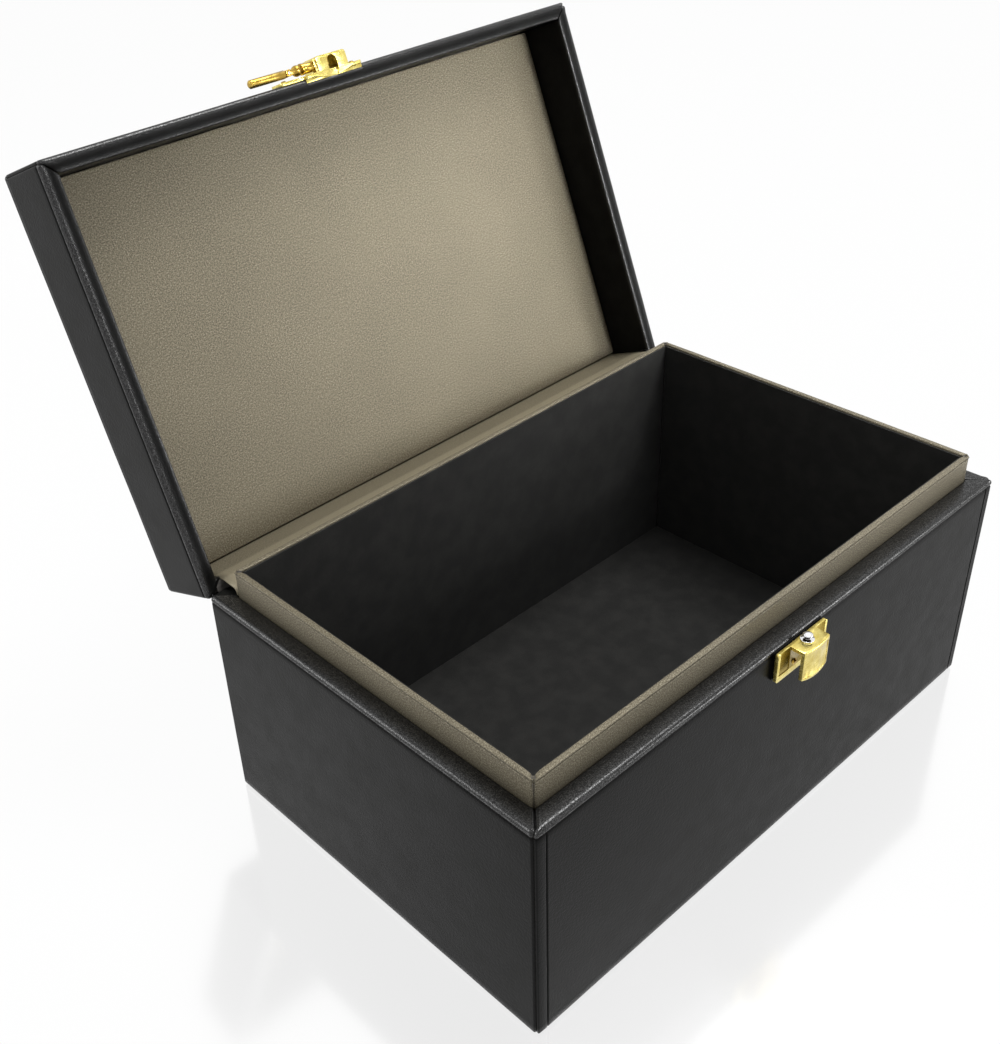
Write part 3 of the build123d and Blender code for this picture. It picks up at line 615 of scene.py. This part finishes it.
# the leatherette: how its edges are rounded and turned in, then its seams, laps, pinch and sway
noRim = -10.0  # a height that no piece reaches
wrapLook = {"thickness": 0.6, "rowStep": 2.4, "columnStep": 2.6, "edgeRound": 1.3, "innerRound": 0.5,
            "onWall": 0.05, "underTurn": 10.0, "insideTurn": 6.0, "sideTurn": 1.5, "rimSpare": 0.05,
            "seamGap": 0.2, "seamShare": 0.72, "backReturn": 0.2, "coverLap": 0.6,
            "edgeRoll": 0.42, "rollWidth": 0.34, "sway": 0.035, "swayLength": 26.0,
            "lapFromCorner": 3.7, "lapDepth": 0.6, "lapWidth": 0.17, "lapFade": 0.5, "lapInset": 2,
            "lapWander": 0.12, "wanderLength": 9.0, "wanderSeed": 3,
            "pinchDrop": 1.9, "pinchDepth": 0.28, "pinchWidth": 0.34,
            "cornerLift": 0.2, "liftFrom": 0.9, "liftWidth": 0.6, "liftHeight": 0.9,
            "polishWidth": 0.75, "polishInset": 0.4, "notchDepth": 0.8, "backStep": 0.6,
            "topReturn": 1.2, "topRound": 1.0, "topSway": 0.07, "topSwayLength": 40.0}

# distances round the walls from the middle of the front: where the front and the sides end, and
# where the covers past the back corners end, on the base and on the lid
wrapOutline = Outline(halfWidth, halfDepth, wrapLook["edgeRound"])
wrapCorner, wrapArc, wrapLength = wrapOutline.corners, wrapOutline.arc, wrapOutline.length
frontEnd = wrapCorner["frontRight"] + wrapArc * wrapLook["seamShare"]
backSeam = wrapCorner["backRight"] + wrapArc + wrapLook["backReturn"]
backCover = wrapCorner["backRight"] + wrapArc + collarInset - wrapLook["edgeRound"]
lidCover = backSeam + collarInset - lidWall + wrapLook["coverLap"]


def leatherPiece(name, body, path, start, end, seed, rim=noRim, laps=(), marks=(), keep=None, seat=None):
    # relief is a sum of bells: rolled ends, a pinch under the rim, lap lines that wander, a lifted
    # corner on the rim, and a slow sway over the sheet
    look = wrapLook
    line, along = path["line"], path["along"][:, None]
    inset, height = line[:, 0:1], line[:, 1:2]
    fineAt = (start, end, *wrapOutline.stops[1:9], *laps, *marks)
    distance = spread(start, end, look["columnStep"], fineAt)[None, :]
    run = wrapOutline.run(distance, inset)
    gap = np.minimum(run - run[:, :1], run[:, -1:] - run)
    fromPinch = abs(height - rim) - look["pinchDrop"]
    relief = look["sway"] * ripple(run, along, look["swayLength"], seed)
    relief = relief - look["edgeRoll"] * bell(gap, look["rollWidth"])
    relief = relief - (inset < look["onWall"]) * look["pinchDepth"] * bell(fromPinch, look["pinchWidth"])
    lifted = bell(gap - look["liftFrom"], look["liftWidth"]) * bell(height - rim, look["liftHeight"])
    relief = relief + look["cornerLift"] * lifted
    reach = np.clip(fromPinch / look["lapFade"], 0, 1) * (inset < look["lapInset"])
    for lap in laps:
        wander = ripple(along, along * 0 + lap, look["wanderLength"], seed + look["wanderSeed"])
        offset = distance - lap - look["lapWander"] * wander
        relief = relief - reach * look["lapDepth"] * bell(offset, look["lapWidth"])
    points, flat = wrapped(wrapOutline, path, distance[0], relief)
    if body == "lid":
        points[..., 2] = np.maximum(points[..., 2], lidFoot - look["rimSpare"])
    else:
        points[..., 2] = np.minimum(points[..., 2], baseHeight + look["rimSpare"])
    if seat is not None:
        points = seat(points)
    if body == "lid":
        points = turnLid(points, -openAngle)
    kept = None if keep is None else keep(line, distance[0])
    # the outer edge of the rim is polished by hands, as far as the back seam; the same mask pales the colour,
    # as wear and a painted highlight
    edge = along[np.argmin(abs(height[:, 0] - rim) + abs(inset[:, 0] - look["polishInset"]))]
    polishAndPaintedHighlight = np.maximum(path["bent"][:, None], bell(along - edge, look["polishWidth"]))
    onward = wrapLength / 2 - abs(wrapLength / 2 - np.mod(distance, wrapLength))
    polishAndPaintedHighlight = polishAndPaintedHighlight * ((onward < backSeam) | (rim == noRim))
    piece = gridPiece(name + "_leatherette", points, flat, polishAndPaintedHighlight, kept)
    return finished(thicken(piece, look["thickness"]), leatherette, body, name + "_leather")


def sidePieces(prefix, path, rim, fold, seed, start, end):
    # the two side walls, each with its cover past the back corner
    def keep(line, distance):
        # every quad up to the back seam; past it, those on the rim that the hinge's fold leaves clear
        before = (distance[1:] <= backSeam + tiny)[None, :]
        clear = np.minimum(line[:-1, 1], line[1:, 1]) >= fold if rim > fold else line[1:, 1] <= fold
        onRim = line[:-1, 0] + line[1:, 0] > wrapLook["onWall"]
        return before | (clear & onRim)[:, None]

    def mirrored(line, distance):
        # the same quads counted from the other side
        return keep(line, wrapLength - distance[::-1])[:, ::-1]

    leatherPiece(prefix + "_right", prefix, path, start, end, seed, rim, keep=keep)
    start, end = wrapLength - end, wrapLength - start
    leatherPiece(prefix + "_left", prefix, path, start, end, seed + 1, rim, keep=mirrored)


def dressBase():
    # each profile starts under the floor, climbs the wall, turns over the rim and ends inside it;
    # the back's ends at the foot of the hinge's fold
    look = wrapLook
    edge, gap = look["edgeRound"], look["seamGap"] / 2
    under, rim = (look["underTurn"], 0, 0), (collarInset, baseHeight, look["innerRound"])
    edges = [under, (0, 0, edge), (0, baseHeight, edge), rim]
    pinch = [baseHeight - look["pinchDrop"]]
    front = roundedPath(edges + [(collarInset, baseHeight - look["insideTurn"], 0)], look["rowStep"], pinch)
    side = roundedPath(edges + [(collarInset, baseHeight - look["sideTurn"], 0)], look["rowStep"], pinch)
    back = roundedPath([under, (0, 0, edge), (0, foldFoot - gap, 0)], look["rowStep"])
    lap = wrapCorner["frontRight"] + edge - look["lapFromCorner"]
    leatherPiece("base_front", "base", front, gap - frontEnd, frontEnd - gap, seed=1, rim=baseHeight,
                 laps=(-lap, lap))
    sidePieces("base", side, baseHeight, foldFoot, seed=2, start=frontEnd + gap, end=backCover)
    leatherPiece("base_back", "base", back, backSeam + gap, wrapLength - backSeam - gap, seed=4)
    print("base covered")


def latchSeat(points):
    # lifts the rim's rounded edge clear of the latch's lip
    under = (abs(points[..., 0] - latchMiddle) < lipHalf) & (points[..., 1] < latchPlateEnd[1])
    seated = points.copy()
    clear = np.maximum(points[..., 2], lidFoot + wrapLook["notchDepth"])
    seated[..., 2] = np.where(under, clear, points[..., 2])
    return seated


def dressLid():
    # shut, each wall's profile starts at the panel, comes down inside, turns under the rim and climbs
    # to the seam below the top; the top's own profile runs from that seam to the middle
    look = wrapLook
    edge, gap = look["edgeRound"], look["seamGap"] / 2
    seamHeight = lidTop - look["topReturn"]
    wall = roundedPath([(lidWall, panelHigh[2], 0), (lidWall, lidFoot, look["innerRound"]),
                        (0, lidFoot, edge), (0, seamHeight - gap, 0)],
                       look["rowStep"] / 2, [lidFoot + look["pinchDrop"]])
    lipEnds = latchMiddle + lipHalf * np.array([-1, 1])
    leatherPiece("lid_front", "lid", wall, gap - frontEnd, frontEnd - gap, seed=5, rim=lidFoot,
                 marks=tuple(lipEnds), seat=latchSeat)
    sidePieces("lid", wall, lidFoot, foldHead, seed=6, start=frontEnd + gap, end=lidCover)
    back = roundedPath([(0, 2 * hingeAt[2] - foldFoot, 0), (0, seamHeight - gap, 0)], look["backStep"])
    leatherPiece("lid_back", "lid", back, backSeam + gap, wrapLength - backSeam - gap, seed=8)

    path = roundedPath([(0, seamHeight + gap, 0), (0, lidTop, look["topRound"]), (halfDepth, lidTop, 0)],
                       look["rowStep"])
    distance = spread(0, wrapLength, look["columnStep"], wrapOutline.stops[1:9])
    x, y = wrapOutline.at(distance[None, :], path["line"][:, 0:1])
    relief = look["topSway"] * ripple(x, y, look["topSwayLength"], seed=9)
    relief = relief - look["edgeRoll"] * bell(path["along"][:, None], look["rollWidth"])
    points, flat = wrapped(wrapOutline, path, distance, relief)
    top = gridPiece("lid_top_leatherette", turnLid(points, -openAngle), flat, path["bent"][:, None])
    finished(thicken(top, look["thickness"]), leatherette, "lid", "lid_top_leather")
    print("lid covered")


dressBase()
dressLid()

# the collar's fabric: its edges, the crease below its top, the rolled ends, the sway and the painted shade
collarLook = {"thickness": 0.28, "rowStep": 0.5, "columnStep": 2.2, "cornerRound": 0.45, "topRound": 0.35,
              "innerDrop": 4.0, "outerDrop": 3.0, "outerFace": 0.2, "gap": 0.3, "rollTop": 0.9,
              "rollFoot": 0.3, "rollWidth": 0.55, "fade": 3, "creaseDrop": 0.7, "creaseDepth": 0.4,
              "creaseWidth": 0.2, "sway": 0.06, "swayLength": 18.0, "creasePaintedShade": 0.75, "footPaintedShade": 0.4,
              "endPaintedShade": 0.7, "endWidth": 0.3, "firstSeed": 20}
collarOutline = Outline(halfWidth - collarInset, halfDepth - collarInset, collarLook["cornerRound"])


def dressCollar():
    # the profile climbs the outside, crosses the top and comes down inside; relief: rolled ends,
    # deeper at the top, a crease below the outer top edge, and a slow sway
    look = collarLook
    path = roundedPath([(0, baseHeight - look["outerDrop"], 0), (0, collarTop, look["topRound"]),
                        (collarThick, collarTop, look["topRound"]),
                        (collarThick, collarTop - look["innerDrop"], 0)],
                       look["rowStep"], [collarTop - look["creaseDrop"]])
    inset, height = path["line"][:, 0:1], path["line"][:, 1:2]
    corner, arc = collarOutline.corners, collarOutline.arc
    corners = [corner["frontLeft"] - collarOutline.length, corner["frontRight"], corner["backRight"],
               corner["backLeft"], corner["frontLeft"]]
    up = np.clip((height - baseHeight) / (collarTop - baseHeight), 0, 1)
    roll = look["rollFoot"] + (look["rollTop"] - look["rollFoot"]) * up ** look["fade"]
    creased = bell(collarTop - look["creaseDrop"] - height, look["creaseWidth"]) * (inset < look["outerFace"])
    for turn, side in enumerate(("front", "right", "back", "left")):
        start = corners[turn] + (arc + look["gap"]) / 2
        end = corners[turn + 1] + (arc - look["gap"]) / 2
        distance = spread(start, end, look["columnStep"], (start, end))[None, :]
        run = collarOutline.run(distance, inset)
        gap = np.minimum(run - run[:, :1], run[:, -1:] - run)
        seed = look["firstSeed"] + turn
        relief = look["sway"] * ripple(run, path["along"][:, None], look["swayLength"], seed)
        relief = relief - roll * bell(gap, look["rollWidth"]) - look["creaseDepth"] * creased
        points, flat = wrapped(collarOutline, path, distance[0], relief)
        # painted shade: in the crease, darker towards the foot, and at the rolled ends
        paintedShade = creased * look["creasePaintedShade"] + look["footPaintedShade"] * (1 - up) ** look["fade"]
        paintedShade = np.clip(paintedShade + look["endPaintedShade"] * bell(gap, look["endWidth"]), 0, 1)
        piece = thicken(gridPiece(f"collar_{side}_cover", points, flat, paintedShade), look["thickness"])
        finished(piece, fabric, "base", f"collar_{side}_fabric")
    print("collar covered")


dressCollar()

# the lid panel's fabric; footGap is left free between it and the hinge's lining
panelLook = {"thickness": 0.28, "rowStep": 2.0, "columnStep": 2.4, "cornerReach": 0.6, "cornerStep": 0.2,
             "cornerRound": 0.8, "edgeRound": 0.25, "crown": 0.25, "crownShare": 0.9, "crownReach": 9.0,
             "sway": 0.05, "swayLength": 34.0, "footGap": 0.35}


def dressPanel():
    # the profile runs from the middle to the edge and over it; relief is a low crown that dies away
    # towards the edges, plus a slow sway
    look = panelLook
    high = panelHigh.copy()
    high[1] = nodeBox("hinge_lining", True)[0][1] - look["footGap"]
    half = (high - panelLow) / 2
    outline = Outline(half[0], half[1], look["cornerRound"], ((high + panelLow) / 2)[:2])
    face = panelLow[2] + look["crown"]
    path = roundedPath([(half[1], face, 0), (0, face, look["edgeRound"]), (0, panelHigh[2], 0)],
                       look["rowStep"])
    inset = path["line"][:, 0:1]
    distance = spread(0, outline.length, look["columnStep"], outline.stops[1:9], look["cornerReach"],
                      look["cornerStep"])
    x, y = outline.at(distance[None, :], inset)
    relief = look["crown"] * look["crownShare"] * (1 - bell(inset, look["crownReach"]))
    relief = relief + look["sway"] * ripple(x, y, look["swayLength"], seed=31)
    points, _ = wrapped(outline, path, distance, relief)
    piece = gridPiece("panel_cover", turnLid(points, -openAngle), points[..., :2])
    finished(thicken(piece, look["thickness"]), fabric, "lid", "lid_panel_fabric")
    print("lid panel covered")


dressPanel()

# the hinge's two strips, which lie bent between the bodies; the last four paint light on the lining
stripLook = {"leather": 0.78, "lining": 0.42, "columnStep": 3.0, "sway": 0.06, "swayLength": 15.0,
             "bend": 3.0, "leaveDrop": 0.1, "tuck": 6.0, "pastPanel": 2.0,
             "foldSteps": 13, "upSteps": 9, "overSteps": 5, "straightSteps": 5, "wallSteps": 24,
             "wallPaintedLight": 0.12, "crestPaintedLight": 0.6, "crestReach": 5.5, "crestFade": 1.5}


def stripPiece(name, line, half, thickness, seed, paintedLight=0.0):
    # a sheet run along X; its section is a line of (y, z) places, pushed out by a slow sway, and it
    # bends where its section bends
    look = stripLook
    x = np.linspace(-half, half, int(2 * half / look["columnStep"]) + 1)
    along = np.concatenate([[0], np.cumsum(np.linalg.norm(np.diff(line, axis=0), axis=1))])[:, None]
    heading = np.gradient(line, axis=0)
    heading /= np.linalg.norm(heading, axis=1)[:, None]
    sway = look["sway"] * ripple(x[None, :], along, look["swayLength"], seed)
    y = line[:, 0:1] - heading[:, 1:2] * sway
    z = line[:, 1:2] + heading[:, 0:1] * sway
    points = np.stack(np.broadcast_arrays(x[None, :], y, z), -1)
    flat = np.stack(np.broadcast_arrays(x[None, :], along), -1)
    piece = thicken(gridPiece(name + "_sheet", points, flat, np.reshape(paintedLight, (-1, 1))), thickness, 0.0)
    material = leatherette if name == "hinge_leather" else fabric
    piece.data.materials.append(material)
    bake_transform(piece)
    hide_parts(name)


def bend(centre, radius, start, end, steps):
    # right-hand bend from one heading to another, both measured from straight up
    heading = np.linspace(start, end, steps)
    return np.stack([centre[0] - radius * np.cos(heading), centre[1] + radius * np.sin(heading)], 1)


def straight(start, end, steps):
    # even places on the way from start to end, without start itself
    return np.array(start) + (np.array(end) - start) * np.linspace(0, 1, steps + 1)[1:, None]


def dressHinge():
    # outside: one bend from the base's back wall to the lid's
    look = stripLook
    radius = (hingeAt[2] - foldFoot) / math.tan(openAngle / 2)
    fold = bend((hingeAt[1] + radius, foldFoot), radius, 0, openAngle, look["foldSteps"])
    fullHalf = float(wrapOutline.at(backSeam + wrapLook["seamGap"] / 2, 0)[0])
    stripPiece("hinge_leather", fold, fullHalf, look["leather"], seed=41)

    # inside: up behind the collar, over the two rims and down the lid's back wall
    behindCollar = nodeBox("collar_back_fabric")[1][1] + look["lining"] / 2
    wallFace = nodeBox("lid_back_board", True)[0][1] - look["lining"] / 2
    leave, last = turnLid([[0, wallFace, lidFoot - look["leaveDrop"]],
                           [0, wallFace, panelLow[2] + look["pastPanel"]]], -openAngle)[:, 1:]
    over = leave + look["bend"] * np.array([math.cos(openAngle), -math.sin(openAngle)])
    rise = over[1] + look["bend"] - baseHeight
    tucked, foot = (behindCollar, baseHeight - look["tuck"]), (behindCollar, baseHeight)
    upBend = bend((behindCollar + rise, baseHeight), rise, 0, math.pi / 2, look["upSteps"])
    overBend = bend(over, look["bend"], math.pi / 2, openAngle, look["overSteps"])
    section = np.concatenate([[tucked], straight(tucked, foot, look["straightSteps"]), upBend[1:],
                              straight(upBend[-1], overBend[0], look["straightSteps"]), overBend[1:],
                              straight(overBend[-1], last, look["wallSteps"])])
    # painted light along the lining, strongest over the crest, which fades out a little way past the last
    # bend
    past = np.linalg.norm(section - overBend[-1], axis=1) * np.sign(section[:, 0] - overBend[-1][0])
    crest = np.clip((look["crestReach"] - past) / look["crestFade"], 0, 1)
    paintedLight = -look["wallPaintedLight"] - (look["crestPaintedLight"] - look["wallPaintedLight"]) * crest
    stripPiece("hinge_lining", section, hingeHalf, look["lining"], seed=42,
               paintedLight=paintedLight)
    print("hinge covered")


dressHinge()

# each metal piece's finish, its body and the width of its eased edges
metalPieces = {"catch_bracket": (brass, "base", 0.12), "latch_plate": (brass, "lid", 0.12),
               "latch_housing": (brass, "lid", 0.1), "catch_nails": (paintedShadeBrass, "base", 0.05),
               "latch_nails": (paintedShadeBrass, "lid", 0.05), "bolt_rod": (paintedShadeBrass, "bolt", 0.05),
               "bolt_barrel": (paintedShadeBrass, "bolt", 0.15), "bolt_eye": (paintedShadeBrass, "bolt", 0.04),
               "latch_bar": (paintedShadeBrass, "bar", 0.08), "catch_peg": (chrome, "base", 0.06),
               "bar_pin": (steel, "bolt", 0.05)}
easedEdges = {"weld": 0.002, "flatDegrees": 1, "sharpDegrees": 30, "segments": 2}
springLook = {"ease": 0.02, "travel": 1.6}


def softMetal(name, material, body, width):
    # a merged copy of the solid with its sharp edges eased
    piece = bpy.data.objects.new(name.replace("_", ""), nodes[name].data.copy())
    piece.data.name = piece.name
    bpy.context.scene.collection.objects.link(piece)
    work = bmesh.new()
    work.from_mesh(piece.data)
    bmesh.ops.remove_doubles(work, verts=work.verts, dist=easedEdges["weld"] * mm)
    flat = math.radians(easedEdges["flatDegrees"])
    bmesh.ops.dissolve_limit(work, angle_limit=flat, verts=work.verts, edges=work.edges)
    work.to_mesh(piece.data)
    work.free()
    piece.data.shade_smooth()
    ease = piece.modifiers.new("eased edges", "BEVEL")
    ease.width = width * mm
    ease.segments = easedEdges["segments"]
    ease.limit_method = "ANGLE"
    ease.angle_limit = math.radians(easedEdges["sharpDegrees"])
    ease.harden_normals = True
    return finished(piece, material, body, name)


def dressSpring():
    # stays in the housing, riding with the lid
    spring = softMetal("bolt_spring", steel, "lid", springLook["ease"])
    foot, head = nodeBox("bolt_spring")
    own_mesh(spring)


def finishSolids():
    # boards, linings, underside and spring have their own finish; the rest lie under dressed pieces,
    # and leatherette does for them
    for name, node in nodes.items():
        if name.endswith("_board"):
            chosen = board
        elif name.startswith("lining_"):
            chosen = lining
        elif name == "underside_sheet":
            chosen = underside
        elif name == "bolt_spring":
            chosen = steel
        else:
            chosen = leatherette
        node.data.materials.clear()
        node.data.materials.append(chosen)
    print("metal and boards finished")


for name, (material, body, width) in metalPieces.items():
    softMetal(name, material, body, width)
dressSpring()
finishSolids()

# the place is in metres, the angles in degrees, the lens and sensor in millimetres
cameraLook = {"place": (-0.23896, -0.19965, 0.28897), "heading": 39.454, "lookDown": 34.073, "roll": -4.37,
              "lens": 45.295, "sensor": 36, "shift": 0.0862, "nearest": 0.01}


def addCamera():
    # looks along the heading, tipped down, and rolls about that line
    look = cameraLook
    heading, down = math.radians(look["heading"]), math.radians(look["lookDown"])
    level = math.cos(down)
    forward = Vector((math.sin(heading) * level, math.cos(heading) * level, -math.sin(down)))
    roll = Quaternion((0, 0, 1), math.radians(look["roll"]))
    camera = bpy.data.objects.new("camera", bpy.data.cameras.new("camera"))
    camera.location = look["place"]
    camera.rotation_mode = "QUATERNION"
    camera.rotation_quaternion = forward.to_track_quat("-Z", "Y") @ roll
    camera.data.sensor_width = look["sensor"]
    camera.data.lens = look["lens"]
    camera.data.shift_x = look["shift"]
    camera.data.clip_start = look["nearest"]
    bpy.context.scene.collection.objects.link(camera)
    bpy.context.scene.camera = camera


addCamera()

# in metres; a lamp is its place, aim, size, power and spread in degrees
white = (1, 1, 1, 1)
studio = {"world": 0.3, "floorTone": (0.9, 0.9, 0.9, 1), "floorWhite": 0.95, "floorGloss": 0.16,
          "floorRough": 0.12, "floorReach": 6.0, "floorDrop": 0.0002,
          "lamps": {"overhead": ((0.34, -0.02, 1.06), (0, 0, 0.05), 0.5, 8.0, 180),
                    "front": ((0.2, -0.62, 0.4), (0.08, 0.09, 0.15), 0.16, 0.1, 20),
                    "key": ((0.42, -0.5, 0.2), (0.06, -0.06, 0.05), 0.2, 0.16, 60),
                    "rear": ((-0.45, 0.35, 0.3), (0, 0, 0.05), 0.3, 1.2, 180)}}


def seenDirectly(tree):
    # 1 for camera, mirror and glass rays
    rays = add(tree, "LightPath").outputs
    either = calc(tree, "MAXIMUM", rays["Is Camera Ray"], rays["Is Glossy Ray"])
    return calc(tree, "MAXIMUM", either, rays["Is Transmission Ray"])


def addFloor():
    # a plain pale floor to the light; seen directly it is mostly white, with a soft reflection
    material = bpy.data.materials.new("floor")
    material.use_nodes = True
    tree = material.node_tree
    tree.nodes.clear()
    lit = add(tree, "BsdfDiffuse", {"Color": studio["floorTone"]}).outputs[0]
    glow = add(tree, "Emission", {"Color": white, "Strength": 1.0}).outputs[0]
    gloss = add(tree, "BsdfGlossy", {"Color": white, "Roughness": studio["floorRough"]}).outputs[0]
    pale = add(tree, "MixShader", {0: studio["floorWhite"], 1: lit, 2: glow}).outputs[0]
    pale = add(tree, "MixShader", {0: studio["floorGloss"], 1: pale, 2: gloss}).outputs[0]
    both = add(tree, "MixShader", {0: seenDirectly(tree), 1: lit, 2: pale}).outputs[0]
    add(tree, "OutputMaterial", {"Surface": both})
    reach = studio["floorReach"]
    corners = [(-reach, -reach, 0), (reach, -reach, 0), (reach, reach, 0), (-reach, reach, 0)]
    mesh = bpy.data.meshes.new("floor")
    mesh.from_pydata(corners, [], [(0, 1, 2, 3)])
    mesh.materials.append(material)
    floor = bpy.data.objects.new("floor", mesh)
    floor.location.z = -studio["floorDrop"]
    bpy.context.scene.collection.objects.link(floor)


def addLight():
    # a soft grey world that is white where it is seen directly, and the lamps, each turned to its aim
    world = bpy.data.worlds.new("studio")
    bpy.context.scene.world = world
    world.use_nodes = True
    tree = world.node_tree
    tree.nodes.clear()
    soft = add(tree, "Background", {"Color": white, "Strength": studio["world"]}).outputs[0]
    plain = add(tree, "Background", {"Color": white, "Strength": 1.0}).outputs[0]
    both = add(tree, "MixShader", {0: seenDirectly(tree), 1: soft, 2: plain}).outputs[0]
    add(tree, "OutputWorld", {"Surface": both})
    for name, (place, aim, size, power, spreadDegrees) in studio["lamps"].items():
        lamp = bpy.data.lights.new(name, "AREA")
        lamp.size = size
        lamp.energy = power
        lamp.spread = math.radians(spreadDegrees)
        lampObject = bpy.data.objects.new(name, lamp)
        lampObject.location = place
        lampObject.rotation_euler = (Vector(aim) - Vector(place)).to_track_quat("-Z", "Y").to_euler()
        bpy.context.scene.collection.objects.link(lampObject)


addFloor()
addLight()
bpy.context.scene.view_settings.view_transform = "Standard"
print("camera and light placed")
